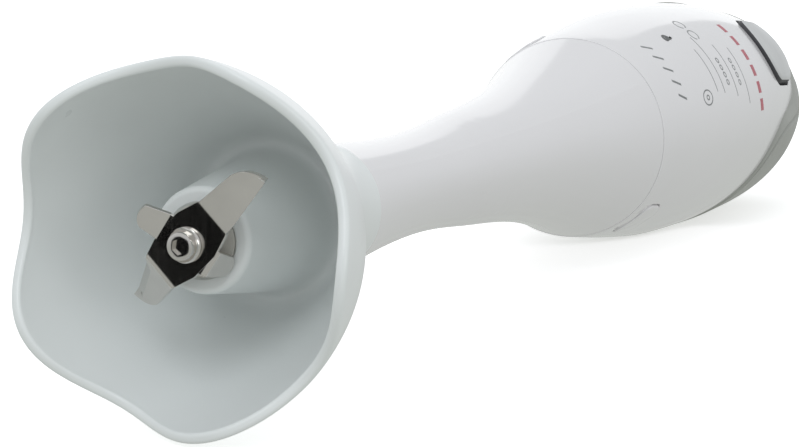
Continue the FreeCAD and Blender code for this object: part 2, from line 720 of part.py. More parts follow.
def make_socket_ring():
    """Ring in the housing's mouth: the foot's spigot slides in, the button stems pass through."""
    bore_r = size.spigot_r + size.socket_gap
    wall_r = bore_r + size.socket_wall
    floor_z = house_start + size.socket_length
    floor_end = floor_z + size.socket_floor
    body = turned("socket_ring", [
        (bore_r, house_start), (size.socket_rim_r, house_start),
        (size.socket_rim_r, house_start + size.socket_rim), (wall_r, house_start + size.socket_rim),
        (wall_r, floor_z), (size.socket_rim_r + 2, floor_z), (size.socket_rim_r + 2, floor_end),
        (size.socket_hole_r, floor_end), (size.socket_hole_r, floor_z), (bore_r, floor_z)])
    hole = ("circle", size.release_stem_r + size.part_gap, (0, size.release_z))
    extrude(body, "XZ_Plane", [hole], 0, 3 * size.socket_rim_r, cut=True, middle=True)
    keep(body)


def make_buttons():
    """Power button with its seal and spring, and the two release buttons with theirs."""
    plunger_end = size.switch_top_x + size.plunger_stand
    make_button("power_button", "button", 0, plunger_end + size.part_gap)
    behind = size.house_wall + size.part_gap / 2
    band = shell("seal_band", -behind, behind + size.button_seal_thickness)
    edge = size.button_flange
    outline = radial_block("seal_edge", size.button_z, size.button_width + 2 * edge,
                           size.button_length + 2 * edge, size.button_corner + edge, 0)
    frame = boolean("Part::Common", "seal_frame", band, [outline])
    keep(boolean("Part::Cut", "button_seal", frame, [window("seal_window", "button", 0)]))
    spring_start = size.switch_top_x + size.plunger_gap
    coil_spring("power_button_spring", Vector(spring_start.value, 0, size.switch_z.value),
                Vector(1, 0, 0), size.button_spring_r, size.wire_r,
                size.button_spring_end - spring_start, 5)
    tip = size.spigot_r + size.release_reach
    spring_start = size.spigot_r + size.socket_gap + size.socket_wall + size.plunger_gap
    for side, turn in SIDES.items():
        make_button(f"release_button_{side}", "release", turn, tip)
        coil_spring(f"release_spring_{side}",
                    Vector(spring_start.value, 0, size.release_z.value), Vector(1, 0, 0),
                    size.release_spring_r, size.fine_wire_r,
                    size.release_spring_end - spring_start, 2, turn)


make_socket_ring()
make_buttons()


# Motor -----------------------------------------------------------------------------------------

motor_shaft_start = size.seam_z + size.cup_start + size.cup_depth + size.part_gap
bracket_end = size.rear_bracket_z + size.bracket_thickness


def make_bracket(label, start, lip_first):
    """Disc that holds a ball bearing, with a lip on one side of it, and the motor's two screws."""
    end = start + size.bracket_thickness
    bearing_seat = size.bearing_r + size.seat_gap
    lip_r = size.bearing_r - size.bearing_lip
    step = start + size.bearing_lip if lip_first else end - size.bearing_lip
    first, second = (lip_r, bearing_seat) if lip_first else (bearing_seat, lip_r)
    body = turned(label, [(first, start), (size.bracket_r, start), (size.bracket_r, end),
                          (second, end), (second, step), (first, step)])
    holes = [("circle", size.screw_r + size.seat_gap, (0, side * size.screw_place))
             for side in (1, -1)]
    extrude(body, "XY_Plane", holes, start - 1, size.bracket_thickness + 2, cut=True)
    keep(body)
    bearing_start = step + size.seat_gap if lip_first else step - size.bearing_width - size.seat_gap
    return bearing_start


def make_motor_frame():
    """Brackets, bearings, rubber dampers and the long screws that clamp the stator."""
    front_bearing = make_bracket("front_bracket", size.front_bracket_z, True)
    rear_bearing = make_bracket("rear_bracket", size.rear_bracket_z, False)
    for label, start in (("front_bearing", front_bearing), ("rear_bearing", rear_bearing)):
        keep(ring(label, size.shaft_r + size.running_gap, size.bearing_r, start,
                  size.bearing_width))
    for label, start, outer in (
            ("front_damper", size.front_bracket_z, size.front_damper_r),
            ("rear_damper", size.rear_bracket_z, size.rear_damper_r)):
        keep(ring(label, size.bracket_r + size.damper_lip, outer, start, size.bracket_thickness))
    screws = new_body("motor_screws_upper")
    lower = new_body("motor_screws_lower")
    for body, side in ((screws, 1), (lower, -1)):
        centre = (0, side * size.screw_place)
        start = size.front_bracket_z - size.screw_head
        extrude(body, "XY_Plane", [("circle", size.screw_head_r, centre)], start, size.screw_head)
        extrude(body, "XY_Plane", [("circle", size.screw_r, centre)], start,
                bracket_end - start)
    pair = doc.addObject("Part::Compound", "motor_screws")
    pair.Label = "motor_screws"
    pair.Links = [screws, lower]
    keep(pair)


def make_stator():
    """Laminated stator with two poles, and a coil round the neck of each pole."""
    half_x, half_y = size.stator_half_x, size.stator_half_y
    body = new_body("stator_core")
    extrude(body, "XY_Plane", [rounded((0, 0), 2 * half_x, 2 * half_y, size.stator_corner),
                               ("circle", size.stator_bore)], size.stator_z, size.stator_length)
    slots = [rectangle(-size.slot_depth, size.slot_depth, low, high)
             for low, high in ((size.slot_inner, size.slot_outer),
                               (-size.slot_outer, -size.slot_inner))]
    extrude(body, "XY_Plane", slots, size.stator_z - 1, size.stator_length + 2, cut=True)
    keep(body)
    middle = size.stator_z + size.stator_length / 2
    inner_y = size.slot_inner + size.coil_gap
    outer_y = size.slot_outer - size.coil_gap
    inner_z = size.stator_length / 2 + size.coil_gap
    outer_z = inner_z + size.coil_overhang
    thickness = size.slot_depth - size.coil_gap - size.coil_inner_x
    for label, turn in (("field_coil_front", 0.0), ("field_coil_back", 180.0)):
        coil = new_body(label, turn)
        corner = size.coil_overhang / 2
        extrude(coil, "YZ_Plane", [rounded((0, middle), 2 * outer_y, 2 * outer_z, corner),
                                   rectangle(-inner_y, inner_y, middle - inner_z, middle + inner_z)],
                size.coil_inner_x, thickness)
        keep(coil)


def make_rotor():
    """Armature, commutator, fan and the shaft that carries them."""
    end = bracket_end - size.part_gap
    keep(turned("motor_shaft", rectangle(0, size.shaft_r, motor_shaft_start, end)))
    bore = ("circle", size.shaft_r + size.seat_gap)
    core = new_body("armature_core")
    extrude(core, "XY_Plane", [("circle", size.armature_r), bore], size.stator_z,
            size.stator_length)
    half = size.armature_slot / 2
    slot = extrude(core, "XY_Plane", [rectangle(size.armature_r - size.armature_slot_depth,
                                                size.armature_r + 1, -half, half)],
                   size.stator_z - 1, size.stator_length + 2, cut=True)
    doc.recompute()
    repeat(core, slot, size.armature_slots)
    keep(core)
    stator_end = size.stator_z + size.stator_length
    ends = []
    for name, start in (("front", size.stator_z - size.seat_gap - size.winding_length),
                        ("back", stator_end + size.seat_gap)):
        rim = size.winding_length / 3
        ends.append(turned(f"winding_{name}", [
            (size.winding_inner_r, start), (size.winding_r - rim, start),
            (size.winding_r, start + rim), (size.winding_r, start + 2 * rim),
            (size.winding_r - rim, start + size.winding_length),
            (size.winding_inner_r, start + size.winding_length)]))
    windings = doc.addObject("Part::Compound", "armature_windings")
    windings.Label = "armature_windings"
    windings.Links = ends
    keep(windings)
    bars = new_body("commutator")
    extrude(bars, "XY_Plane", [("circle", size.commutator_r), bore], size.commutator_z,
            size.commutator_length)
    half_groove = size.commutator_groove / 2
    groove = extrude(bars, "XY_Plane", [rectangle(
        size.commutator_r - size.commutator_groove_depth, size.commutator_r + 1,
        -half_groove, half_groove)], size.commutator_z - 1, size.commutator_length + 2, cut=True)
    doc.recompute()
    repeat(bars, groove, size.armature_slots)
    keep(bars)
    fan = new_body("cooling_fan")
    extrude(fan, "XY_Plane", [("circle", size.fan_hub_r), bore], size.fan_z, size.fan_width)
    extrude(fan, "XY_Plane", [("circle", size.fan_r), bore], size.fan_z, size.fan_blade)
    blade = extrude(fan, "XY_Plane", [rectangle(size.fan_hub_r - 1, size.fan_r - 1,
                                                -size.fan_blade / 2, size.fan_blade / 2)],
                    size.fan_z, size.fan_width)
    doc.recompute()
    repeat(fan, blade, size.fan_blades)
    keep(fan)


def make_brushes():
    """A carbon brush on each side, in a brass holder, pressed on by a coil spring."""
    middle = size.commutator_z + size.commutator_length / 2
    tip = size.commutator_r + size.brush_gap
    for side, turn in SIDES.items():
        brush = new_body(f"carbon_brush_{side}", turn)
        extrude(brush, "YZ_Plane", [rounded((0, middle), size.brush_width, size.brush_height, 0.4)],
                tip, size.brush_length)
        keep(brush)
        inside = (size.brush_width + 2 * size.brush_gap, size.brush_height + 2 * size.brush_gap)
        outside = [length + 2 * size.holder_wall for length in inside]
        holder = new_body(f"brush_holder_{side}", turn)
        extrude(holder, "YZ_Plane", [rounded((0, middle), *outside, size.holder_wall),
                                     rounded((0, middle), *inside, 0.3)],
                size.holder_start, size.holder_length - size.holder_wall)
        end = size.holder_start + size.holder_length - size.holder_wall
        extrude(holder, "YZ_Plane", [rounded((0, middle), *outside, size.holder_wall)], end,
                size.holder_wall)
        keep(holder)
        start = tip + size.brush_length + size.brush_gap
        coil_spring(f"brush_spring_{side}", Vector(start.value, 0, middle.value), Vector(1, 0, 0),
                    size.brush_spring_r, size.wire_r, end - start - size.brush_gap, 4, turn)


make_motor_frame()
make_stator()
make_rotor()
make_brushes()


# Switch, board and cord inlet ------------------------------------------------------------------

def make_electrics():
    """Board behind the rear bracket, with the switch under the button and a capacitor."""
    board_start = bracket_end + size.part_gap
    board = new_body("circuit_board")
    extrude(board, "YZ_Plane", [rounded((0, board_start + size.board_length / 2),
                                        2 * size.board_half, size.board_length, 2.0)],
            size.board_x - size.board_thickness, size.board_thickness)
    keep(board)
    switch = new_body("micro_switch")
    half = size.switch_half
    extrude(switch, "YZ_Plane", [rounded((0, size.switch_z), 2 * half, size.switch_length, 0.6)],
            size.board_x, size.switch_top_x - size.board_x)
    hole_r = size.plunger_r + size.plunger_gap
    extrude(switch, "YZ_Plane", [("circle", hole_r, (0, size.switch_z))],
            size.switch_top_x - size.plunger_hole, 2 * size.plunger_hole, cut=True).Reversed = True
    keep(switch)
    plunger = new_body("switch_plunger")
    plunger_start = size.switch_top_x - size.plunger_sink
    extrude(plunger, "YZ_Plane", [("circle", size.plunger_r, (0, size.switch_z))], plunger_start,
            size.plunger_sink + size.plunger_stand)
    keep(plunger)
    capacitor = new_body("capacitor")
    centre = (size.board_x - size.board_thickness - size.capacitor_r - size.seat_gap, 0)
    extrude(capacitor, "XY_Plane", [("circle", size.capacitor_r, centre)], size.capacitor_z,
            size.capacitor_length)
    keep(capacitor)


def make_cord_inlet():
    """End cap with the cord's hole, and the bar and screws that clamp the cord behind it."""
    inner_z = house_end - size.house_wall
    rim_start = inner_z - size.cap_rim_drop - size.cap_rim
    tube_start = rim_start - size.inlet_tube_length
    plug_r = size.end_hole_r - size.seat_gap
    keep(turned("end_cap", [
        (size.cord_hole_r, tube_start), (size.inlet_tube_r, tube_start),
        (size.inlet_tube_r, rim_start), (size.cap_rim_r, rim_start),
        (size.cap_rim_r, rim_start + size.cap_rim), (plug_r, rim_start + size.cap_rim),
        (plug_r, size.tool_length), (size.cord_hole_r, size.tool_length)]))
    bar_x = size.inlet_tube_r + size.seat_gap
    bar_end = rim_start - size.seat_gap
    bar = new_body("cord_clamp")
    centre = bar_end - size.clamp_width / 2
    holes = [("circle", size.clamp_screw_r + size.seat_gap, (side * size.clamp_screw_place, centre))
             for side in (1, -1)]
    extrude(bar, "YZ_Plane", [rounded((0, centre), 2 * size.clamp_half, size.clamp_width, 1.5)]
            + holes, bar_x, size.clamp_height)
    keep(bar)
    screws = []
    for number, side in enumerate((1, -1), start=1):
        at = (side * size.clamp_screw_place, centre)
        screw = new_body(f"clamp_screw_{number}")
        extrude(screw, "YZ_Plane", [("circle", size.clamp_screw_r, at)], 0,
                bar_x + size.clamp_height)
        extrude(screw, "YZ_Plane", [("circle", size.clamp_screw_head_r, at)],
                bar_x + size.clamp_height, size.clamp_screw_r)
        screws.append(screw)
    pair = doc.addObject("Part::Compound", "clamp_screws")
    pair.Label = "clamp_screws"
    pair.Links = screws
    keep(pair)


make_electrics()
make_cord_inlet()


# Check every object, then write the sub-parts ------------------------------------------------

doc.recompute()
for item in doc.Objects:
    if "Invalid" in item.State or "Error" in item.State:
        raise RuntimeError(f"{item.Label} failed: {item.State}")
os.makedirs("parts", exist_ok=True)
for piece in pieces:
    if piece.Shape.isNull() or not piece.Shape.isValid() or not piece.Shape.Solids:
        raise RuntimeError(f"{piece.Label} has no valid solid")
    piece.Shape.exportStep(f"parts/{piece.Label}.step")
    box = piece.Shape.BoundBox
    print(f"{piece.Label}: {len(piece.Shape.Solids)} solid, {piece.Shape.Volume:.0f} mm3, "
          f"{box.XLength:.1f} x {box.YLength:.1f} x {box.ZLength:.1f}")
print(len(pieces), "sub-parts")
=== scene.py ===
import json
import math
import bmesh
import bpy
import numpy as np
from bpy.props import FloatProperty, FloatVectorProperty, PointerProperty
from mathutils import Matrix, Vector


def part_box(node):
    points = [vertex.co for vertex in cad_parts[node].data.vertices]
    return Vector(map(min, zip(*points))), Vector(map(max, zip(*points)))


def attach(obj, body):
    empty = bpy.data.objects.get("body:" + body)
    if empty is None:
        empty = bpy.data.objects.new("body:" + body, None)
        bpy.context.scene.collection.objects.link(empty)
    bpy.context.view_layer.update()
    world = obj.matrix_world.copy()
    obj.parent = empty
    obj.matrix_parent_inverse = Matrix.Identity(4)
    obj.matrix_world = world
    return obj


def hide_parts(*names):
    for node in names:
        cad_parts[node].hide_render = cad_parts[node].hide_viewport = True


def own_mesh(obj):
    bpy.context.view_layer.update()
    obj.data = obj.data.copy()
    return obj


bl_info = {
    "name": "Immersion blender",
    "version": (1, 0, 0),
    "blender": (4, 5, 0),
    "location": "View3D > Sidebar > Blender tool",
    "description": "Builds the finished surfaces, marks and materials of a hand blender",
    "category": "Add Mesh",
}

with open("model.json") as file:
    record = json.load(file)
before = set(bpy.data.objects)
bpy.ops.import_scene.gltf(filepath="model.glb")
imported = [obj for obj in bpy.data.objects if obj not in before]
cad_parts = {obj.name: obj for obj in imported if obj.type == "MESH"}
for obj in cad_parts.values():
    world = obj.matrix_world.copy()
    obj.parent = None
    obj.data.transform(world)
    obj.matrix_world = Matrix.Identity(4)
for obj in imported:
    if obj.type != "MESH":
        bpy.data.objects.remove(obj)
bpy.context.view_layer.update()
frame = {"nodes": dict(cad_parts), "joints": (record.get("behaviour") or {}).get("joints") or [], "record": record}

# The tool lies along +Y. Its axis height and the direction of its front come from the frame.
MM = 0.001
SHAFT_LOW, SHAFT_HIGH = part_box("drive_shaft")
AXIS_Z = (SHAFT_LOW[2] + SHAFT_HIGH[2]) / 2
RIM_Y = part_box("foot_tube")[0][1] - 0.062
PRESS = Vector(next(j["axis"] for j in frame["joints"] if j["name"] == "power_button_press"))
FRONT = math.atan2(-PRESS[0], -PRESS[2])


# Sizes and colours that a user may change -----------------------------------------------------

def length(name, description, default):
    return FloatProperty(name=name, description=description, default=default, unit="LENGTH",
                         precision=5)


def colour(name, description, default):
    return FloatVectorProperty(name=name, description=description, default=default, subtype="COLOR",
                               min=0.0, max=1.0)


def share(name, description, default):
    return FloatProperty(name=name, description=description, default=default, min=0.0, max=1.0)


class BlenderBellSizes(bpy.types.PropertyGroup):
    """Sizes of the bell and its rim."""
    wall: length("Wall", "Thickness of the bell's wall", 2.0 * MM)
    wave: length("Wave", "Half the height of the rim's wave", 3.28 * MM)
    turn: FloatProperty(name="Turn", description="Angle of the rim's first arch from the front",
                        default=math.radians(6.1), subtype="ANGLE")
    boss_step: length("Boss step", "Rounding of the boss's front edge", 1.2 * MM)


class BlenderShellSizes(bpy.types.PropertyGroup):
    """Sizes of the handle's shells and of the button."""
    grip_round: length("Grip edge", "Radius of the grip's edge", 0.9 * MM)
    edge_round: length("Shell edge", "Radius of the white shells' edges", 0.3 * MM)
    button_stand: length("Button stand", "How far the power button stands out", 1.5 * MM)
    button_round: length("Button edge", "Radius of the power button's edge", 1.1 * MM)


class BlenderMarkSizes(bpy.types.PropertyGroup):
    """Sizes and colours of the printed marks."""
    line: length("Line", "Width of the fine printed lines", 0.28 * MM)
    dash: length("Dash", "Width of the red dashes", 1.5 * MM)
    ink: colour("Ink", "Colour of the fine marks", (0.16, 0.17, 0.17))
    red: colour("Red", "Colour of the dashes", (0.42, 0.05, 0.08))


class BlenderFinishes(bpy.types.PropertyGroup):
    """Colours and finishes."""
    white: colour("White", "Gloss plastic of the shells", (0.78, 0.77, 0.78))
    satin: colour("Bell", "Satin plastic of the bell", (0.80, 0.83, 0.825))
    grip: colour("Grip", "Soft-touch grey of the grip", (0.34, 0.35, 0.32))
    button: colour("Button", "Grey of the buttons", (0.60, 0.61, 0.61))
    steel: colour("Steel", "Blade steel", (0.62, 0.60, 0.57))
    gloss: share("Gloss", "Roughness of the white plastic", 0.13)


class BlenderStageSizes(bpy.types.PropertyGroup):
    """Floor, lights and camera."""
    floor: length("Floor", "Half the width of the floor", 6.0)
    floor_tint: colour("Floor tint", "Colour of the floor", (0.93, 0.93, 0.93))
    floor_glow: FloatProperty(name="Floor glow", description="Light given off by the paper",
                              default=0.5, min=0.0)
    sky: FloatProperty(name="Sky", description="Strength of the light from all round",
                       default=0.74, min=0.0)
    ground: FloatProperty(name="Ground light", description="Strength of the light from below",
                          default=0.55, min=0.0)
    ground_tint: colour("Ground tint", "Colour of the light from below", (0.97, 1.0, 0.96))
    sky_tint: colour("Sky tint", "Colour of the light from all round", (0.96, 0.98, 1.0))
    back_panel: FloatProperty(name="Back panel", description="Power of the panel behind, watts",
                        default=3.4, min=0.0)
    overhead: FloatProperty(name="Overhead", description="Power of the overhead light, watts",
                            default=0.9, min=0.0)
    front_fill: FloatProperty(name="Fill", description="Power of the light in front, watts",
                        default=2.4, min=0.0)
    side_light: FloatProperty(name="Side light", default=1.4, min=0.0,
                              description="Power of the light at the right, watts")
    lens: FloatProperty(name="Lens", description="Focal length of the camera, millimetres",
                        default=95.05)
    camera_place: FloatVectorProperty(name="Camera place", description="Where the camera stands",
                                      default=(0.16137, -0.49323, 0.08157), subtype="TRANSLATION",
                                      unit="LENGTH", precision=5)
    camera_turn: FloatProperty(name="Camera turn", description="Angle round the vertical",
                               default=math.radians(22.05), subtype="ANGLE")
    camera_drop: FloatProperty(name="Camera drop", description="How far it looks down",
                               default=math.radians(7.56), subtype="ANGLE")


def settings():
    return bpy.context.scene


# Curves and surfaces --------------------------------------------------------------------------

def spline_points(poles, count):
    """Points on a clamped cubic B-spline with evenly spaced knots: each basis function of degree
    n is a blend of two of degree n - 1, starting from steps."""
    poles = np.asarray(poles, float)
    spans = len(poles) - 3
    knots = np.concatenate([np.zeros(3), np.linspace(0, 1, spans + 1), np.ones(3)])
    at = np.linspace(0, 1, count)[:, None]
    basis = ((at >= knots[:-1]) & (at < knots[1:])).astype(float)
    basis[-1, spans + 2] = 1.0
    for degree in range(1, 4):
        size = len(knots) - 1 - degree
        left = knots[degree:degree + size] - knots[:size]
        right = knots[degree + 1:] - knots[1:size + 1]
        rise = np.where(left > 0, (at - knots[:size]) / np.where(left > 0, left, 1), 0)
        fall = np.where(right > 0, (knots[degree + 1:] - at) / np.where(right > 0, right, 1), 0)
        basis = rise * basis[:, :size] + fall * basis[:, 1:size + 1]
    return basis @ poles


class Curve:
    """A radius along the axis, in millimetres, taken from a B-spline of (z, radius) poles."""

    def __init__(self, poles):
        self.points = spline_points(poles, 900)

    def __call__(self, z):
        return np.interp(z, self.points[:, 0], self.points[:, 1])


BELL_POLES = [(0, 32), (16.8, 30.4), (35.9, 16.9), (54.3, 11.9), (62, 12.2)]
HOLLOW_POLES = [(0, 30), (14.3, 29.6), (31.0, 18.5), (40.0, 15.2)]
HOUSE_POLES = [(215.3, 25.4), (245.6, 29.8), (269.2, 31.8), (312.8, 32.4), (357.7, 28.6),
               (383.5, 24.0), (391.0, 10.5)]
SPLIT_POLES = [(402, 28.0), (366, 22.4), (332, 26.0), (314, 14.6), (306, 3.0), (302, -14.0),
               (258, -15.0), (236, -36.0)]
WALL_POLES = [(215.3, 23.0), (245.6, 27.4), (269.2, 29.4), (312.8, 30.0), (357.7, 26.2),
              (381.1, 21.6), (388.6, 10.5)]
GRIP_POLES = [(215.3, 26.1), (245.6, 30.5), (269.2, 32.5), (312.8, 32.4), (357.7, 32.6),
              (384.2, 25.0), (391.7, 10.5)]
bell_radius, hollow_radius = Curve(BELL_POLES), Curve(HOLLOW_POLES)
house_radius, grip_radius = Curve(HOUSE_POLES), Curve(GRIP_POLES)
# Bell: arches in the rim, heights and radii of the boss and the plug, and fits, in millimetres.
ARCHES, LIP_SQUARE = 5, 0.8
BOSS_FRONT, BOSS_R, BORE_R, BELL_TOP, PLUG_R, PLUG_END = 13.0, 9.2, 6.25, 62.0, 9.85, 72.0
SEAT, PART_GAP, SPLIT_GAP = 0.05, 0.3, 0.25
# Blade: middle height, distances from the axis to its folds, its bends and its edges.
BLADE_Z, BLADE_FOLD, WING_LENGTH, TAB_FOLD, TAB_ROOT = 8.1, 6.9, 13.0, 4.9, 2.6
BLADE_TURN, WING_UP, WING_DOWN = math.radians(-8), math.radians(38), math.radians(12)
TAB_UP, TAB_DOWN, FOLD_LENGTH, BEVEL, EDGE_SOFT = math.radians(70), math.radians(32), 1.4, 1.9, 0.08
INK_TOP, INK_FOOT = 0.035, -0.02
# How far the split slides back on the left, and reaches of the cutters past the shell.
SPLIT_LAG, PAST_SHELL, FAR_SIDE, CUT_DEPTH, CUT_RISE = 9.5, 45.0, 80.0, 6.0, 4.0
# Points round a quarter corner, sides of the stems and of the blade's hole, and the hole's radius.
CORNER_POINTS, STEM_SIDES, HOLE_SIDES, HOLE_R = 30, 32, 48, 2.05
# Degrees past which an edge stays sharp.
TURNED_CREASE, SHELL_CREASE, SMALL_CREASE, BLADE_CREASE = 40.0, 35.0, 30.0, 18.0
# Screw in the blade's middle: (height, radius) round its section, and its hexagonal socket.
SCREW_POINTS = [(7.55, 0.0), (7.55, 2.9), (7.1, 3.0), (6.9, 2.75), (6.5, 2.55), (5.7, 2.5),
                (5.35, 2.3), (5.2, 1.9), (5.2, 0.0)]
SOCKET_R, SOCKET_ENDS = 1.45, (4.9, 5.93)
# Buttons: the face rows of the pad between which its skirt lies; these faces take a near-black material as painted
# shade.
PAINTED_SHADE_ROWS = (9, 16)
# Springs: joint, angle from the front, height, and distances from the axis of the fixed end and of
# the pressed end, in millimetres.
SPRINGS = {"power_button_spring": ("power_button_press", 0.0, 342.0, 16.6, 25.0),
           "release_spring_left": ("release_left_press", math.pi / 2, 226.0, 21.5, 23.1),
           "release_spring_right": ("release_right_press", -math.pi / 2, 226.0, 21.5, 23.1)}


def smooth_step(value):
    value = np.clip(value, 0, 1)
    return value * value * (3 - 2 * value)


def to_frame(radius, angle, z):
    """Millimetres about the tool's axis, with angles from the front, to metres in the frame."""
    turned = np.asarray(angle) + FRONT
    return np.stack([radius * np.sin(turned) * MM, z * MM + RIM_Y + 0 * turned,
                     radius * np.cos(turned) * MM + AXIS_Z], axis=-1)


def mesh_object(name, vertices, faces, body, smooth=TURNED_CREASE):
    """A mesh object from arrays, shaded smooth but for edges sharper than an angle in degrees."""
    mesh = bpy.data.meshes.new(name)
    mesh.from_pydata(np.asarray(vertices).reshape(-1, 3).tolist(), [],
                     [list(map(int, face)) for face in faces])
    mesh.validate()
    mesh.update()
    piece = bpy.data.objects.new(name, mesh)
    crease(piece, smooth)
    bpy.context.scene.collection.objects.link(piece)
    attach(piece, body)
    return piece


def grid_faces(rows, columns, around=False, closed=False, start=0):
    """Four-cornered faces of a grid of rows by columns. around joins the last column to the first,
    closed the last row to the first."""
    row, column = np.meshgrid(np.arange(rows if closed else rows - 1),
                              np.arange(columns if around else columns - 1), indexing="ij")
    next_row, next_column = (row + 1) % rows, (column + 1) % columns
    corners = [row * columns + column, row * columns + next_column,
               next_row * columns + next_column, next_row * columns + column]
    return np.stack(corners, axis=-1).reshape(-1, 4) + start


def tube_faces(rows, columns):
    """Faces of a tube of rows rings, with one face over each end."""
    ends = [list(range(columns)), list(range((rows - 1) * columns, rows * columns))]
    return grid_faces(rows, columns, True).tolist() + ends


def crease(piece, angle):
    """Smooth shading but for edges sharper than an angle in degrees."""
    piece.data.shade_smooth()
    piece.data.set_sharp_from_angle(angle=math.radians(angle))


def outward(piece):
    """Turns the faces of a closed piece outwards."""
    work = bmesh.new()
    work.from_mesh(piece.data)
    bmesh.ops.remove_doubles(work, verts=work.verts, dist=1e-7)
    bmesh.ops.recalc_face_normals(work, faces=work.faces)
    work.to_mesh(piece.data)
    work.free()


def round_corners(loop, radius, steps=5):
    """A closed outline with each corner replaced by a short curve: points at even steps along the
    quadratic through the corner."""
    rounded = []
    for before, here, after in zip(np.roll(loop, 1, 0), loop, np.roll(loop, -1, 0)):
        back, ahead = before - here, after - here
        reach = min(radius, np.linalg.norm(back) / 2.2, np.linalg.norm(ahead) / 2.2)
        first = here + back / np.linalg.norm(back) * reach
        last = here + ahead / np.linalg.norm(ahead) * reach
        for part in np.linspace(0, 1, steps):
            rounded.append((1 - part)**2 * first + 2 * part * (1 - part) * here + part**2 * last)
    return np.array(rounded)


def lathe(name, loop, body, turns=256, smooth=TURNED_CREASE):
    """A closed outline of (z, radius) points carried round the axis."""
    angle = np.linspace(0, 2 * math.pi, turns, endpoint=False)
    z, radius = loop[:, 0][:, None], loop[:, 1][:, None]
    points = to_frame(radius + 0 * angle, angle + 0 * z, z + 0 * angle)
    piece = mesh_object(name, points, grid_faces(len(loop), turns, True, True), body, smooth)
    outward(piece)
    crease(piece, smooth)
    return piece


# Materials -------------------------------------------------------------------------------------

class Finish:
    """A material whose colour, roughness and bump follow patterns in the object's own space."""

    def __init__(self, name, base, roughness, metallic=0.0, coat=0.0, coat_roughness=0.05,
                 specular=0.5):
        self.material = bpy.data.materials.new(name)
        self.material.use_nodes = True
        self.nodes = self.material.node_tree.nodes
        self.links = self.material.node_tree.links
        self.shader = self.nodes["Principled BSDF"]
        self.set(**{"Base Color": (*base, 1.0), "Roughness": roughness, "Metallic": metallic,
                    "Coat Weight": coat, "Coat Roughness": coat_roughness,
                    "Specular IOR Level": specular})
        self.at = self.nodes.new("ShaderNodeTexCoord").outputs["Object"]

    def set(self, **values):
        for socket, value in values.items():
            self.shader.inputs[socket].default_value = value

    def noise(self, scale, detail=3.0, stretch=(1, 1, 1)):
        mapping = self.nodes.new("ShaderNodeMapping")
        mapping.inputs["Scale"].default_value = stretch
        noise = self.nodes.new("ShaderNodeTexNoise")
        noise.inputs["Scale"].default_value = scale
        noise.inputs["Detail"].default_value = detail
        self.links.new(self.at, mapping.inputs["Vector"])
        self.links.new(mapping.outputs["Vector"], noise.inputs["Vector"])
        return noise.outputs["Fac"]

    def wave(self, direction, scale, distortion):
        wave = self.nodes.new("ShaderNodeTexWave")
        wave.bands_direction = direction
        wave.inputs["Scale"].default_value = scale
        wave.inputs["Distortion"].default_value = distortion
        self.links.new(self.at, wave.inputs["Vector"])
        return wave.outputs["Fac"]

    def tint(self, value, first, second, low=0.35, high=0.65):
        """Base colour that wanders between two near tints."""
        ramp = self.nodes.new("ShaderNodeValToRGB")
        ends = zip(ramp.color_ramp.elements, (low, high), (first, second))
        for element, position, tone in ends:
            element.position = position
            element.color = (*tone, 1)
        self.links.new(value, ramp.inputs["Fac"])
        self.links.new(ramp.outputs["Color"], self.shader.inputs["Base Color"])

    def rough(self, value, low, high):
        spread = self.nodes.new("ShaderNodeMapRange")
        spread.inputs["To Min"].default_value = low
        spread.inputs["To Max"].default_value = high
        self.links.new(value, spread.inputs["Value"])
        self.links.new(spread.outputs["Result"], self.shader.inputs["Roughness"])

    def bump(self, value, strength, distance):
        bump = self.nodes.new("ShaderNodeBump")
        bump.inputs["Strength"].default_value = strength
        bump.inputs["Distance"].default_value = distance
        self.links.new(value, bump.inputs["Height"])
        self.links.new(bump.outputs["Normal"], self.shader.inputs["Normal"])


def shade(base, factor):
    return tuple(max(0.0, min(1.0, part * factor)) for part in base)


def white_plastic():
    """Gloss moulded plastic: faint waviness of the mould, a few duller patches."""
    tones = settings().blender_finishes
    base, gloss = tuple(tones.white), tones.gloss
    finish = Finish("white_gloss_plastic", base, gloss, coat=0.35)
    finish.tint(finish.noise(14.0), shade(base, 0.985), base)
    finish.rough(finish.noise(60.0), gloss * 0.8, gloss * 1.3)
    finish.bump(finish.noise(900.0, 2.0), 0.03, 0.0001)
    return finish.material


def satin_plastic():
    """The bell's plastic, a little duller than the handle's, with the swirl of food and water."""
    base = tuple(settings().blender_finishes.satin)
    finish = Finish("white_satin_plastic", base, 0.3, coat=0.2, coat_roughness=0.2)
    finish.tint(finish.noise(30.0), shade(base, 0.95), base)
    finish.rough(finish.noise(120.0), 0.24, 0.38)
    finish.bump(finish.noise(1400.0, 2.0), 0.05, 0.0001)
    return finish.material


def soft_touch(name, base):
    """Soft-touch elastomer: fine grain, wide highlight, slightly worn tone."""
    finish = Finish(name, base, 0.52)
    finish.set(**{"Sheen Weight": 0.15})
    finish.tint(finish.noise(40.0), shade(base, 0.93), shade(base, 1.06))
    finish.rough(finish.noise(300.0), 0.45, 0.6)
    finish.bump(finish.noise(5200.0, 2.0), 0.25, 0.00008)
    return finish.material


def metal(name, base, roughness, grain=2600.0, stretch=(1, 1, 0.04), strength=0.06):
    """Metal with a directional grain."""
    finish = Finish(name, base, roughness, metallic=1.0)
    lines = finish.noise(grain, 4.0, stretch)
    finish.tint(finish.noise(90.0), shade(base, 0.93), shade(base, 1.04))
    finish.rough(lines, roughness * 0.75, roughness * 1.4)
    finish.bump(lines, strength, 0.00004)
    return finish.material


def moulded(name, base, roughness=0.45, grain=2200.0):
    """Plain moulded plastic or rubber with a fine spark-eroded grain."""
    finish = Finish(name, base, roughness)
    finish.tint(finish.noise(55.0), shade(base, 0.88), shade(base, 1.1))
    finish.rough(finish.noise(400.0), roughness * 0.8, roughness * 1.2)
    finish.bump(finish.noise(grain, 3.0), 0.2, 0.00008)
    return finish.material


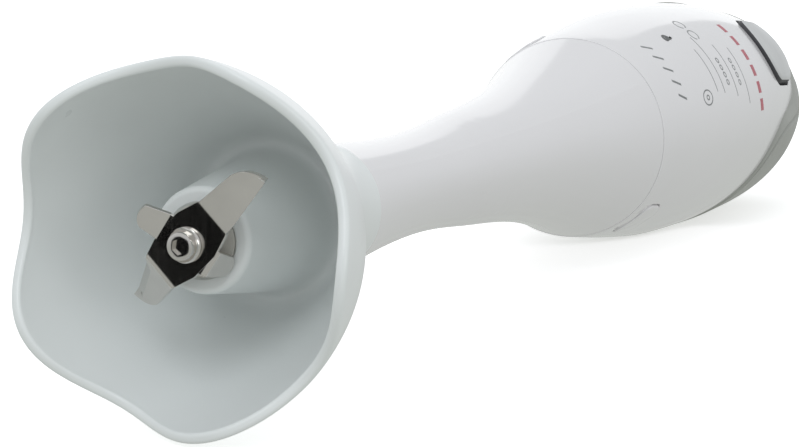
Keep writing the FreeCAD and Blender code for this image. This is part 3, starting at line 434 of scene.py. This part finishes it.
def laminated(name, base):
    """Stack of stamped sheets: fine lines across the axis."""
    finish = Finish(name, base, 0.4, metallic=0.9)
    sheets = finish.wave("Y", 300.0, 0.3)
    finish.tint(sheets, shade(base, 0.75), shade(base, 1.15), 0.2, 0.8)
    finish.bump(sheets, 0.4, 0.0001)
    return finish.material


def wound(name, base):
    """Enamelled wire: fine ridges that run round the coil."""
    finish = Finish(name, base, 0.28, metallic=0.85, coat=0.5)
    wires = finish.wave("DIAGONAL", 420.0, 1.2)
    finish.tint(wires, shade(base, 0.6), shade(base, 1.15), 0.1, 0.9)
    finish.bump(wires, 0.6, 0.0002)
    return finish.material


def printed(name, base):
    """Pad-printed ink, thin in places."""
    finish = Finish(name, base, 0.35)
    finish.tint(finish.noise(700.0), base, shade(base, 1.5), 0.45, 0.8)
    return finish.material


SLOT_FINISH = {
    "white_plastic": lambda t: white_plastic(),
    "grey_grip": lambda t: soft_touch("grip_soft_touch", tuple(t.grip)),
    "dark_plastic": lambda t: moulded("dark_moulding", (0.045, 0.045, 0.05)),
    "black_rubber": lambda t: moulded("black_rubber", (0.02, 0.02, 0.02), 0.7, 3500.0),
    "blade_steel": lambda t: metal("blade_steel", tuple(t.steel), 0.12),
    "shaft_steel": lambda t: metal("ground_steel", (0.52, 0.52, 0.53), 0.25, 3000.0, (1, 0.05, 1)),
    "bush_bronze": lambda t: metal("sintered_bronze", (0.50, 0.32, 0.13), 0.4, 1800.0,
                                   (1, 1, 1), 0.2),
    "liner_plastic": lambda t: moulded("natural_acetal", (0.66, 0.65, 0.60), 0.35),
    "laminated_steel": lambda t: laminated("laminated_steel", (0.30, 0.30, 0.32)),
    "copper_winding": lambda t: wound("copper_winding", (0.60, 0.22, 0.08)),
    "carbon": lambda t: moulded("pressed_carbon", (0.03, 0.03, 0.03), 0.6, 5000.0),
    "board_green": lambda t: moulded("glass_fibre_board", (0.03, 0.16, 0.06), 0.3),
    "capacitor_case": lambda t: moulded("potted_case", (0.55, 0.38, 0.04), 0.3),
}


def dress(piece, material):
    """Gives every slot of a piece one material."""
    if not piece.material_slots:
        piece.data.materials.append(material)
    for place in piece.material_slots:
        place.material = material


class BLENDERTOOL_OT_materials(bpy.types.Operator):
    """Give every CAD part its finish"""
    bl_idname = "blendertool.materials"
    bl_label = "Finish the CAD parts"

    def execute(self, context):
        tones = settings().blender_finishes
        made = {slot: make(tones) for slot, make in SLOT_FINISH.items()}
        for entry in frame["record"]["subparts"]:
            dress(frame["nodes"][entry["node"]], made[entry["material_slot"]])
        buttons = soft_touch("button_soft_touch", tuple(tones.button))
        for node in ("power_button", "release_button_left", "release_button_right"):
            dress(frame["nodes"][node], buttons)
        dress(frame["nodes"]["seal_washer"], made["liner_plastic"])
        return {"FINISHED"}


# Bell ------------------------------------------------------------------------------------------

class BLENDERTOOL_OT_bell(bpy.types.Operator):
    """Shape the bell with its rounded, waved rim"""
    bl_idname = "blendertool.bell"
    bl_label = "Shape the bell"

    def execute(self, context):
        """Rows of (height, radius) round the axis. The outer rows follow the bell's curve from the
        lip to the neck, the inner rows its hollow; the lip is an oval arc between them, set on a
        wave of five arches: wave times one plus the cosine of five times the angle."""
        sizes = settings().blender_bell
        turns = 320
        angle = np.linspace(0, 2 * math.pi, turns, endpoint=False)
        lip = sizes.wave / MM * (1 + np.cos(ARCHES * (angle - sizes.turn)))
        half = sizes.wall / MM / 2
        base = lip + half

        def along(start, end, steps, curve):
            part = np.linspace(0, 1, steps)[:, None]
            height = start + (end - start) * part
            return height, curve(height)

        def level(points):
            points = np.array(points, float)
            return points[:, :1] + 0 * angle, points[:, 1:] + 0 * angle

        sleeve_low, sleeve_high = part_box("shaft_sleeve")
        sleeve = (sleeve_high[0] - sleeve_low[0]) / 2 / MM + SEAT
        bush_end = (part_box("lower_bush")[1][1] - RIM_Y) / MM + PART_GAP
        outer = along(base, BELL_TOP, 90, bell_radius)
        plug = level([(BELL_TOP, PLUG_R), (PLUG_END, PLUG_R), (PLUG_END, sleeve),
                      (bush_end, sleeve), (bush_end, BORE_R), (BOSS_FRONT + 0.4, BORE_R),
                      (BOSS_FRONT, BORE_R + 0.4)])
        edge = sizes.boss_step / MM
        face = BOSS_R - edge + edge * np.sin(np.linspace(0, math.pi / 2, 8))
        drop = BOSS_FRONT + edge - edge * np.cos(np.linspace(0, math.pi / 2, 8))
        boss = level(np.column_stack([drop, face]))
        flare = level(spline_points([(BOSS_FRONT + edge, BOSS_R), (24.0, 10.6), (34.0, 11.9),
                                     (40.2, 12.5), (40.0, 15.0), (37.0, hollow_radius(37.0))], 40))
        hollow = along(37.0 + 0 * base, base, 90, hollow_radius)
        bend = np.linspace(0, math.pi, 18)[1:-1][:, None]
        inner_r, outer_r = hollow_radius(base), bell_radius(base)
        sine, cosine = np.sin(bend), np.cos(bend)
        oval = (base - half * np.abs(sine)**LIP_SQUARE,
                (inner_r + outer_r) / 2
                - (outer_r - inner_r) / 2 * np.sign(cosine) * np.abs(cosine)**LIP_SQUARE)
        parts = [outer, plug, boss, (flare[0][1:], flare[1][1:]),
                 (hollow[0][1:], hollow[1][1:]), oval]
        height = np.concatenate([part[0] for part in parts])
        radius = np.concatenate([part[1] for part in parts])
        piece = mesh_object("bell_shape", to_frame(radius, angle + 0 * height, height),
                            grid_faces(len(height), turns, True, True), "mixing_foot")
        outward(piece)
        crease(piece, TURNED_CREASE)
        dress(piece, satin_plastic())
        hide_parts("bell_guard")
        return {"FINISHED"}


# Shells and buttons ----------------------------------------------------------------------------

def cut(piece, cutter, operation="DIFFERENCE"):
    """Applies a boolean to a piece and removes the cutter."""
    change = piece.modifiers.new("cut", "BOOLEAN")
    change.operation, change.object, change.solver = operation, cutter, "EXACT"
    bpy.context.view_layer.update()
    graph = bpy.context.evaluated_depsgraph_get()
    mesh = bpy.data.meshes.new_from_object(piece.evaluated_get(graph))
    piece.modifiers.clear()
    mesh.name = piece.name
    piece.data = mesh
    bpy.data.objects.remove(cutter)


def tool(vertices, faces):
    """A cutter: a closed mesh object that isn't kept."""
    mesh = bpy.data.meshes.new("cutter")
    mesh.from_pydata(np.asarray(vertices).reshape(-1, 3).tolist(), [],
                     [list(map(int, face)) for face in faces])
    mesh.update()
    cutter = bpy.data.objects.new("cutter", mesh)
    bpy.context.scene.collection.objects.link(cutter)
    outward(cutter)
    return cutter


def from_local(x, y, z):
    """Millimetres in the tool's own axes, x to the front and z along the tool, to the frame."""
    x, y, z = np.broadcast_arrays(x, y, z)
    sine, cosine = math.sin(FRONT), math.cos(FRONT)
    return np.stack([(x * sine + y * cosine) * MM, z * MM + RIM_Y,
                     (x * cosine - y * sine) * MM + AXIS_Z], axis=-1)


def split_cutter(radius_at, edge, side, inset):
    """Everything on one side of the split line. The line's points are drawn out across the tool;
    near the shell's surface they move off along the line's normal by edge times one minus the
    cosine of an angle, so that the cut leaves a round edge. On the left of the handle, past the
    button, the line slides back from the front by up to SPLIT_LAG in a smooth step."""
    line = spline_points(SPLIT_POLES, 110)
    z, x = line[:, 0], line[:, 1] - inset
    if side > 0:
        z, x = np.append(z, [236.0, 200.0]), np.append(x, [-60.0, -60.0])
    slope = np.gradient(np.column_stack([x, z]), axis=0)
    normal = np.column_stack([-slope[:, 1], slope[:, 0]])
    normal /= np.linalg.norm(normal, axis=1)[:, None]
    bend = np.linspace(0, math.radians(110), 12)
    flat = np.linspace(0, 1, 14)[:-1]
    lag = SPLIT_LAG * smooth_step((x - 8.0) / 14.0) * (1 - smooth_step((z - 364.0) / 16.0))

    def half(edge_x):
        reach = np.sqrt(np.maximum(radius_at(z)**2 - edge_x**2, 1e-4))[:, None]
        width = reach * edge / (reach + edge)
        across = np.concatenate([flat * (reach - width), reach - width + width * np.sin(bend),
                                 PAST_SHELL + 0 * reach], axis=1)
        shift = np.concatenate([0 * flat, edge * (1 - np.cos(bend)), [edge * 1.4]]) + 0 * across
        slide = (edge_x - x)[:, None] * smooth_step(across / 14.0)
        return (x[:, None] + slide - side * shift * normal[:, :1], across,
                z[:, None] - side * shift * normal[:, 1:])

    left, right = half(x - lag), half(x)
    front_x = np.concatenate([left[0][:, :0:-1], right[0]], axis=1)
    across = np.concatenate([-left[1][:, :0:-1], right[1]], axis=1)
    front_z = np.concatenate([left[2][:, :0:-1], right[2]], axis=1)
    far_x = np.full_like(front_x, side * FAR_SIDE)
    points = np.concatenate([from_local(front_x, across, front_z),
                             from_local(far_x, across, z[:, None] + 0 * across)[:, ::-1]], axis=1)
    rows, columns = points.shape[:2]
    return tool(points, tube_faces(rows, columns))


def outline(width, length, corner):
    """A rounded rectangle about the origin, and its outward normals: quarter arcs between runs."""
    turn = np.concatenate([np.linspace(k, k + 1, CORNER_POINTS) for k in range(4)]) * math.pi / 2
    normal = np.column_stack([np.cos(turn), np.sin(turn)])
    middle = np.repeat([(1, 1), (-1, 1), (-1, -1), (1, -1)], CORNER_POINTS, axis=0)
    return middle * [width / 2 - corner, length / 2 - corner] + corner * normal, normal


def pillow(shape, centre_z, turn, rows, radius_at):
    """Rings that follow a curved surface: row (scale, offset, height) is the outline shrunk by
    scale, moved out by offset, and set height above the surface of radius radius_at."""
    points, normal = shape
    rings = []
    for scale, offset, height in rows:
        flat = points * scale + normal * offset
        z = flat[:, 1] + centre_z
        x = np.sqrt(radius_at(z)**2 - flat[:, 0]**2) + height
        sine, cosine = math.sin(turn), math.cos(turn)
        rings.append(from_local(x * cosine - flat[:, 0] * sine, x * sine + flat[:, 0] * cosine, z))
    return np.array(rings), tube_faces(len(rings), len(points))


def window_cutter(kind, turn, edge):
    """The button's opening, with a round edge where it meets the surface."""
    slot = kind["slot"]
    shape = outline(kind["width"] + 2 * slot, kind["length"] + 2 * slot, kind["corner"] + slot)
    bend = np.linspace(0, math.radians(100), 8)
    rows = [(0.02, 0, -CUT_DEPTH), (0.6, 0, -CUT_DEPTH), (1, 0, -CUT_DEPTH), (1, 0, -2 * edge)]
    rows += [(1, edge * (1 - math.cos(a)), edge * (math.sin(a) - 1)) for a in bend]
    rows += [(1, edge * 1.3, CUT_RISE), (0.6, 0, CUT_RISE), (0.02, 0, CUT_RISE)]
    return tool(*pillow(shape, kind["z"], turn, rows, house_radius))


def band(name, poles, wall_poles, edge):
    """A turned shell between two curves, with a rounded mouth."""
    outer, inner = spline_points(poles, 150), spline_points(wall_poles, 60)[::-1]
    mouth = round_corners(np.array([outer[4], outer[0], inner[-1], inner[-5]]), edge, 6)[6:18]
    loop = np.concatenate([outer[4:], inner[:-4], mouth[::-1]])
    return lathe(name, loop, "motor_unit", 240)


POWER = {"z": 341.0, "width": 22.0, "length": 38.0, "corner": 10.9, "slot": 0.8, "flange": 1.6,
         "stem_r": 2.0, "stem": (18.9, 28.5), "stem_z": 342.0, "under": 4.5, "thick": 1.0}
RELEASE = {"z": 226.0, "width": 12.0, "length": 10.0, "corner": 3.0, "slot": 0.4, "flange": 1.2,
           "stem_r": 1.6, "stem": (20.8, 25.0), "stem_z": 226.0, "under": 3.3, "thick": 0.6}


class BLENDERTOOL_OT_shells(bpy.types.Operator):
    """Shape the white front shell and the grey grip"""
    bl_idname = "blendertool.shells"
    bl_label = "Shape the handle's shells"

    def execute(self, context):
        sizes = settings().blender_shells
        edge, grip_edge = sizes.edge_round / MM, sizes.grip_round / MM
        front = band("front_shell", HOUSE_POLES, WALL_POLES, edge)
        cut(front, split_cutter(house_radius, edge, -1, 0.0))
        for kind, turn in ((POWER, 0.0), (RELEASE, math.pi / 2), (RELEASE, -math.pi / 2)):
            cut(front, window_cutter(kind, turn, edge))
        dress(front, white_plastic())
        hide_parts("motor_housing")
        grip = band("grip_cover", GRIP_POLES, WALL_POLES, edge)
        cut(grip, split_cutter(grip_radius, grip_edge, 1, SPLIT_GAP))
        dress(grip, soft_touch("grip_soft_touch", tuple(settings().blender_finishes.grip)))
        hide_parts("back_grip")
        for piece in (front, grip):
            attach(piece, "motor_unit")
            crease(piece, SHELL_CREASE)
        return {"FINISHED"}


def button_piece(name, kind, turn, stand, edge, body):
    """A crowned pad with a round edge, a skirt, a flange behind the shell and a stem."""
    shape = outline(kind["width"], kind["length"], kind["corner"])
    under, thick = kind["under"], kind["thick"]
    bend = np.linspace(0, math.pi / 2, 9)
    rows = [(0.02, 0, stand), (0.35, 0, stand), (0.7, 0, stand), (0.85, 0, stand - 0.03)]
    rows += [(1, edge * (math.sin(a) - 1), stand - 0.05 - edge * (1 - math.cos(a))) for a in bend]
    rows += [(1, 0, thick - under), (1, kind["flange"], thick - under), (1, kind["flange"], -under),
             (0.5, 0, -under), (0.02, 0, -under)]
    points, faces = pillow(shape, kind["z"], turn, rows, house_radius)
    piece = mesh_object(name, points, faces, body)
    for _ in range(2):
        piece.data.materials.append(None)
    # The skirt's faces get the second slot, which holds painted shade: a near-black material standing in for the
    # shadow on the button's side wall.
    row = np.arange(len(faces)) // len(shape[0])
    skirt = (row >= PAINTED_SHADE_ROWS[0]) & (row < PAINTED_SHADE_ROWS[1])
    piece.data.polygons.foreach_set("material_index", skirt.astype(int))
    outward(piece)
    around = np.linspace(0, 2 * math.pi, STEM_SIDES, endpoint=False)
    start, end = kind["stem"]
    reach = np.array([start, start + 0.3, end])[:, None]
    radius = kind["stem_r"] - np.array([0.3, 0, 0])[:, None]
    side, z = radius * np.cos(around), radius * np.sin(around) + kind["stem_z"]
    stem = from_local(reach * math.cos(turn) - side * math.sin(turn),
                      reach * math.sin(turn) + side * math.cos(turn), z)
    cut(piece, tool(stem, tube_faces(3, STEM_SIDES)), "UNION")
    crease(piece, SHELL_CREASE)
    return piece


class BLENDERTOOL_OT_buttons(bpy.types.Operator):
    """Shape the power button and the two release buttons"""
    bl_idname = "blendertool.buttons"
    bl_label = "Shape the buttons"

    def execute(self, context):
        sizes, tones = settings().blender_shells, settings().blender_finishes
        power = button_piece("power_pad", POWER, 0.0, sizes.button_stand / MM,
                             sizes.button_round / MM, "power_button")
        dress(power, soft_touch("button_soft_touch", tuple(tones.button)))
        # Painted shade: the skirt's slot gets a near-black material in place of the shadow on the button's side
        # wall, not a dark part.
        power.material_slots[1].material = moulded("button_skirt", (0.05, 0.05, 0.055), 0.6)
        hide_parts("power_button")
        gloss = white_plastic()
        for side, turn in (("left", math.pi / 2), ("right", -math.pi / 2)):
            piece = button_piece(f"release_pad_{side}", RELEASE, turn, 0.5, 0.35,
                                 f"release_button_{side}")
            dress(piece, gloss)
            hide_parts(f"release_button_{side}")
        return {"FINISHED"}


class BLENDERTOOL_OT_springs(bpy.types.Operator):
    """Let each spring shorten as its button goes in"""
    # Give each spring its own copy of its mesh
    bl_idname = "blendertool.springs"
    bl_label = "Tie the springs to their buttons"

    def execute(self, context):
        for node, (name, turn, z, fixed, pressed) in SPRINGS.items():
            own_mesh(frame["nodes"][node])
        return {"FINISHED"}


# Blade -----------------------------------------------------------------------------------------

def strip(stations, low, high, slope, heading, ground_low=0.0, ground_high=0.0, sheet=1.0):
    """A bent sheet. Its cross-section at each station runs from low to high across the arm. The
    middle line is the slope added up along the arm. ground_low and ground_high are the widths of
    the bevels on the edges, on the side that faces the mouth."""
    step = np.diff(stations)
    middle = (slope[1:] + slope[:-1]) / 2
    origin = np.searchsorted(stations, 0.0)
    run = np.append(0, np.cumsum(np.cos(middle) * step))
    rise = np.append(0, np.cumsum(np.sin(middle) * step))
    run, rise = run - run[origin] + stations[origin], rise - rise[origin]
    half, width = sheet / 2, high - low
    soft = np.minimum(EDGE_SOFT, 0.2 * width)
    bevels = [np.minimum(ground + 0 * width, 0.6 * width) for ground in (ground_low, ground_high)]
    section = [(low + np.maximum(bevels[0], soft), -half),
               (high - np.maximum(bevels[1], soft), -half),
               (high, -half + soft + sheet * 0.75 * bevels[1] / BEVEL), (high, half - soft),
               (high - soft, half), (low + soft, half), (low, half - soft),
               (low, -half + soft + sheet * 0.75 * bevels[0] / BEVEL)]
    across = np.stack([place for place, _ in section], axis=1)
    thick = np.stack([height + 0 * width for _, height in section], axis=1)
    x = run[:, None] - thick * np.sin(slope)[:, None]
    z = rise[:, None] + thick * np.cos(slope)[:, None]
    sine, cosine = math.sin(heading), math.cos(heading)
    points = from_local(x * cosine - across * sine, x * sine + across * cosine, z + BLADE_Z)
    rows, columns = points.shape[:2]
    return points, tube_faces(rows, columns)


def arm_edges(along, fold, root, length, nose, shoulder, edge, nose_r):
    """Low and high edges of an arm at distances along it. The high edge is straight; the low one
    runs to the shoulder and then follows an arc round the nose."""
    past = along - fold
    start, finish = np.array([length - nose, -shoulder]), np.array([length, edge])
    chord = finish - start
    span = np.linalg.norm(chord)
    across = np.array([-chord[1], chord[0]]) / span
    centre = (start + finish) / 2 + across * math.sqrt(nose_r**2 - span**2 / 4)
    bulge = np.sqrt(np.maximum(nose_r**2 - (past - centre[0])**2, 0))
    straight = -root + (root - shoulder) * np.clip(past / (length - nose), 0, 1)
    low = np.where(past > length - nose, centre[1] - bulge, straight)
    high = root + (edge - root) * np.clip(past / length, 0, 1)
    return low, np.where(past > length, centre[1] + bulge, high)


def screw_head():
    """A round flanged head turned about the axis, with a hexagonal socket in its end."""
    head = lathe("blade_screw", np.array(SCREW_POINTS), "drive_line", 96,
                 SMALL_CREASE)
    corner = np.radians(np.arange(6) * 60 + 15)
    socket = [from_local(SOCKET_R * np.cos(corner), SOCKET_R * np.sin(corner), z)
              for z in SOCKET_ENDS]
    cut(head, tool(np.array(socket), tube_faces(2, 6)))
    crease(head, SMALL_CREASE)
    return head


class BLENDERTOOL_OT_blade(bpy.types.Operator):
    """Shape the pressed blade with its ground edges"""
    bl_idname = "blendertool.blade"
    bl_label = "Shape the blade"

    def execute(self, context):
        """One long strip makes the plate and both wings, and two short ones the tabs."""
        out = np.linspace(0, BLADE_FOLD + WING_LENGTH - 0.03, 90)
        low, high = arm_edges(out, BLADE_FOLD, 3.5, WING_LENGTH, 4.5, 2.3, 2.6, 6.7)
        plate = np.interp(out, [0, TAB_ROOT, BLADE_FOLD], [TAB_FOLD, TAB_FOLD, 3.6])
        low, high = np.where(out < BLADE_FOLD, -plate, low), np.where(out < BLADE_FOLD, plate, high)
        ground = BEVEL * smooth_step((out - BLADE_FOLD) / 2.0)
        stations = np.concatenate([-out[:0:-1], out])
        slope = (-WING_UP * (1 - smooth_step((stations + BLADE_FOLD) / FOLD_LENGTH + 0.5))
                 - WING_DOWN * smooth_step((stations - BLADE_FOLD) / FOLD_LENGTH + 0.5))
        points, faces = strip(stations, np.concatenate([-high[:0:-1], low]),
                              np.concatenate([-low[:0:-1], high]), slope, BLADE_TURN,
                              np.concatenate([ground[:0:-1], 0 * out]),
                              np.concatenate([0 * out[:0:-1], ground]))
        piece = mesh_object("pressed_blade", points, faces, "drive_line",
                            SMALL_CREASE)
        outward(piece)
        for turn, bend in ((math.radians(258), -TAB_DOWN), (math.radians(78), TAB_UP)):
            along = np.linspace(3.0, TAB_FOLD + 5.1, 40)
            low, high = arm_edges(along, TAB_FOLD, 2.6, 4.6, 0.8, 2.0, 2.0, 2.8)
            slope = bend * smooth_step((along - TAB_FOLD) / FOLD_LENGTH + 0.3)
            tab = strip(along, low, high, slope, turn + BLADE_TURN, sheet=0.96)
            cut(piece, tool(*tab), "UNION")
        around = np.linspace(0, 2 * math.pi, HOLE_SIDES, endpoint=False)
        hole = [from_local(HOLE_R * np.cos(around), HOLE_R * np.sin(around), z)
                for z in (5.0, 11.0)]
        cut(piece, tool(np.array(hole), tube_faces(2, HOLE_SIDES)))
        crease(piece, BLADE_CREASE)
        polished = metal("blade_steel", tuple(settings().blender_finishes.steel), 0.12)
        dress(piece, polished)
        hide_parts("blade")
        head = screw_head()
        dress(head, polished)
        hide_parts("blade_nut")
        return {"FINISHED"}


# Printed marks ---------------------------------------------------------------------------------

# Places of the marks: height along the tool, then length round it from the front.
STROKES, DASHES = np.linspace(-9.0, 7.0, 5), np.linspace(-8.8, 16.4, 6)
DROP_PLACE, DROP_TIP, DROP_SPINE = (247.2, -9.8), (250.4, -9.8), ((246.4, -9.8), (249.2, -9.8))
RING_PLACE, RING_SIZES = (248.0, 9.6), ((3.2, 2.0), (0.9, 0.6))
OPEN_OVALS = ((266.5, -13.4), (266.5, -8.6))
HAIRLINES = ((256.5, -4.0, 9.0), (262.0, -8.0, 10.0), (273.0, -4.0, 12.0), (284.0, -2.0, 15.0))
BEADS = ((267.5, 0.0), (278.5, 1.0))


def printed_line(points, width, closed=False):
    """A thin raised line that follows the housing. Points are (height along the tool, length
    round it from the front); each side of the line is half the width off along its normal."""
    path = np.asarray(points, float)
    if closed:
        tangent = np.roll(path, -1, 0) - np.roll(path, 1, 0)
    else:
        tangent = np.gradient(path, axis=0)
    tangent /= np.linalg.norm(tangent, axis=1)[:, None]
    normal = np.column_stack([-tangent[:, 1], tangent[:, 0]]) * width / 2
    corners = [(1, INK_TOP), (-1, INK_TOP), (-1, INK_FOOT), (1, INK_FOOT)]
    rings = []
    for side, height in corners:
        at = path + side * normal
        radius = house_radius(at[:, 0])
        rings.append(to_frame(radius + height, at[:, 1] / radius, at[:, 0]))
    points = np.stack(rings, axis=1)
    rows = len(path)
    faces = grid_faces(rows, 4, True, closed).tolist()
    if not closed:
        faces += [[0, 1, 2, 3], [4 * rows - 4 + k for k in range(4)]]
    return points.reshape(-1, 3), faces


def arc(centre, size, start=0.0, end=360.0, count=40):
    """Points on part of an oval. Its size is (half height, half length)."""
    angle = np.radians(np.linspace(start, end, count))
    return np.column_stack([centre[0] + size[0] * np.sin(angle),
                            centre[1] + size[1] * np.cos(angle)])


def line(start, end, count=12):
    part = np.linspace(0, 1, count)[:, None]
    return np.array(start) * (1 - part) + np.array(end) * part


def joined(name, strokes, body):
    """Several closed lines as one mesh object."""
    vertices, faces, count = [], [], 0
    for points, new_faces in strokes:
        vertices.append(points)
        faces += [[corner + count for corner in face] for face in new_faces]
        count += len(points)
    piece = mesh_object(name, np.concatenate(vertices), faces, body, SMALL_CREASE)
    outward(piece)
    return piece


class BLENDERTOOL_OT_marks(bpy.types.Operator):
    """Print plain marks on the front of the handle"""
    bl_idname = "blendertool.marks"
    bl_label = "Print the marks"

    def execute(self, context):
        sizes = settings().blender_marks
        fine, bold = sizes.line / MM, sizes.dash / MM
        dark = []
        for place in STROKES:
            dark.append(printed_line(line((229.2, place - 0.9), (233.4, place + 0.9)), 2.2 * fine))
        for size in RING_SIZES:
            dark.append(printed_line(arc(RING_PLACE, size)[:-1], 1.3 * fine, True))
        for place in OPEN_OVALS:
            dark.append(printed_line(arc(place, (2.6, 1.8), 20, 340), 1.3 * fine))
        for height, start, end in HAIRLINES:
            dark.append(printed_line(line((height, start), (height, end), 40), fine))
        for height, start in BEADS:
            for place in np.arange(start, start + 8.0, 2.2):
                bead = arc((height, place + 0.9), (0.9, 0.7))[:-1]
                dark.append(printed_line(bead, 1.3 * fine, True))
        ink = joined("fine_marks", dark, "motor_unit")
        dress(ink, printed("grey_ink", tuple(sizes.ink)))
        drop = np.concatenate([arc(DROP_PLACE, (1.5, 1.2), 60, 300, 24), [DROP_TIP]])
        solid = [printed_line(drop, 0.9, True), printed_line(line(*DROP_SPINE), 1.2)]
        drop_mark = joined("drop_mark", solid, "motor_unit")
        dress(drop_mark, printed("dark_ink", shade(tuple(sizes.ink), 0.3)))
        red = []
        for place in DASHES:
            red.append(printed_line(line((298.0, place - 1.7), (298.0, place + 1.7)), 2.2 * bold))
        dashes = joined("red_dashes", red, "motor_unit")
        dress(dashes, printed("red_ink", tuple(sizes.red)))
        return {"FINISHED"}


# Camera, floor and light -------------------------------------------------------------------------

FLAG_PLACE = (-0.20, -0.70, -0.04)
# Lights, in metres: place, what they face, width, height and tint.
LIGHTS = {
    "back_panel": ((-1.0, 1.9, 0.55), (0, 0.1, 0.03), 1.9, 1.3, (1, 1, 1)),
    "overhead": ((-0.35, 0.05, 1.1), (0, 0.0, 0.03), 0.6, 0.9, (1, 1, 1)),
    "front_fill": ((0.1, -0.95, 0.9), (0, -0.15, 0.03), 0.6, 0.6, (0.93, 0.97, 1.0)),
    "side_light": ((1.2, -0.5, 0.35), (0, -0.1, 0.03), 0.5, 0.5, (1, 1, 1)),
}


def area_light(name, place, target, width, height, power, tint):
    data = bpy.data.lights.new(name, "AREA")
    data.shape = "RECTANGLE"
    data.size, data.size_y = width, height
    data.energy = power
    data.color = tint
    light = bpy.data.objects.new(name, data)
    bpy.context.scene.collection.objects.link(light)
    light.location = place
    light.rotation_euler = (Vector(target) - Vector(place)).to_track_quat("-Z", "Y").to_euler()
    return light


class BLENDERTOOL_OT_stage(bpy.types.Operator):
    """Set up the floor, the soft light and the camera"""
    bl_idname = "blendertool.stage"
    bl_label = "Set up the stage"

    def execute(self, context):
        stage = settings().blender_stage
        half = stage.floor
        mesh = bpy.data.meshes.new("floor")
        corners = [(-half, -half, 0), (half, -half, 0), (half, half, 0), (-half, half, 0)]
        mesh.from_pydata(corners, [], [(0, 1, 2, 3)])
        floor = bpy.data.objects.new("floor", mesh)
        context.scene.collection.objects.link(floor)
        tone = tuple(stage.floor_tint)
        paper = Finish("floor_paper", tone, 0.9)
        paper.tint(paper.noise(3.0), shade(tone, 0.99), tone)
        paper.set(**{"Emission Color": (1, 1, 1, 1), "Emission Strength": stage.floor_glow})
        mesh.materials.append(paper.material)
        floor.visible_diffuse = floor.visible_glossy = floor.visible_shadow = False

        # A black card under the floor in front, seen only in the polished plate of the blade.
        flag = tool(np.array([(x, y, z) for x in (-0.001, 0.001) for y in (-0.13, 0.13)
                              for z in (-0.12, 0.12)]),
                    [(0, 1, 3, 2), (4, 6, 7, 5), (0, 4, 5, 1), (2, 3, 7, 6), (0, 2, 6, 4),
                     (1, 5, 7, 3)])
        flag.name = "dark_flag"
        flag.data.transform(Matrix.Translation(FLAG_PLACE)
                            @ Matrix.Rotation(math.radians(68), 4, "Z"))
        cloth = Finish("flag_cloth", (0.0, 0.0, 0.0), 1.0, specular=0.0)
        flag.data.materials.append(cloth.material)
        flag.visible_camera = flag.visible_diffuse = flag.visible_shadow = False

        world = bpy.data.worlds.new("studio")
        context.scene.world = world
        world.use_nodes = True
        nodes, links = world.node_tree.nodes, world.node_tree.links
        where, split = nodes.new("ShaderNodeTexCoord"), nodes.new("ShaderNodeSeparateXYZ")
        ramp = nodes.new("ShaderNodeValToRGB")
        spread = nodes.new("ShaderNodeMapRange")
        spread.inputs["From Min"].default_value, spread.inputs["From Max"].default_value = -1.0, 1.0
        for element, place, level, tint in zip(
                ramp.color_ramp.elements, (0.40, 0.58), (stage.ground, stage.sky),
                (stage.ground_tint, stage.sky_tint)):
            element.position = place
            element.color = (*shade(tuple(tint), level), 1)
        links.new(where.outputs["Generated"], split.inputs["Vector"])
        links.new(split.outputs["Z"], spread.inputs["Value"])
        links.new(spread.outputs["Result"], ramp.inputs["Fac"])
        links.new(ramp.outputs["Color"], nodes["Background"].inputs["Color"])

        for name, (place, target, width, height, tint) in LIGHTS.items():
            area_light(name, place, target, width, height, getattr(stage, name), tint)

        data = bpy.data.cameras.new("camera")
        data.lens = stage.lens
        data.clip_start = 0.01
        camera = bpy.data.objects.new("camera", data)
        context.scene.collection.objects.link(camera)
        camera.location = stage.camera_place
        camera.rotation_euler = (math.pi / 2 - stage.camera_drop, 0, stage.camera_turn)
        context.scene.camera = camera
        context.scene.view_settings.view_transform = "Standard"
        return {"FINISHED"}


# Panel and run -----------------------------------------------------------------------------------

GROUPS = {"blender_bell": BlenderBellSizes, "blender_shells": BlenderShellSizes,
          "blender_marks": BlenderMarkSizes, "blender_finishes": BlenderFinishes,
          "blender_stage": BlenderStageSizes}
OPERATORS = [BLENDERTOOL_OT_materials, BLENDERTOOL_OT_stage, BLENDERTOOL_OT_bell,
             BLENDERTOOL_OT_shells, BLENDERTOOL_OT_buttons, BLENDERTOOL_OT_springs,
             BLENDERTOOL_OT_blade, BLENDERTOOL_OT_marks]


class BLENDERTOOL_PT_panel(bpy.types.Panel):
    """Lists the pieces and their sizes."""
    bl_idname = "BLENDERTOOL_PT_panel"
    bl_label = "Immersion blender"
    bl_space_type = "VIEW_3D"
    bl_region_type = "UI"
    bl_category = "Blender tool"

    def draw(self, context):
        for group, kind in GROUPS.items():
            box = self.layout.box()
            for name in kind.__annotations__:
                box.prop(getattr(context.scene, group), name)
        for kind in OPERATORS:
            self.layout.operator(kind.bl_idname)


def register():
    for kind in list(GROUPS.values()) + OPERATORS + [BLENDERTOOL_PT_panel]:
        bpy.utils.register_class(kind)
    for name, kind in GROUPS.items():
        setattr(bpy.types.Scene, name, PointerProperty(type=kind))


def unregister():
    for name in GROUPS:
        delattr(bpy.types.Scene, name)
    for kind in reversed(list(GROUPS.values()) + OPERATORS + [BLENDERTOOL_PT_panel]):
        bpy.utils.unregister_class(kind)


def main():
    register()
    for kind in OPERATORS:
        group, name = kind.bl_idname.split(".")
        getattr(getattr(bpy.ops, group), name)()


if __name__ == "__main__":
    main()
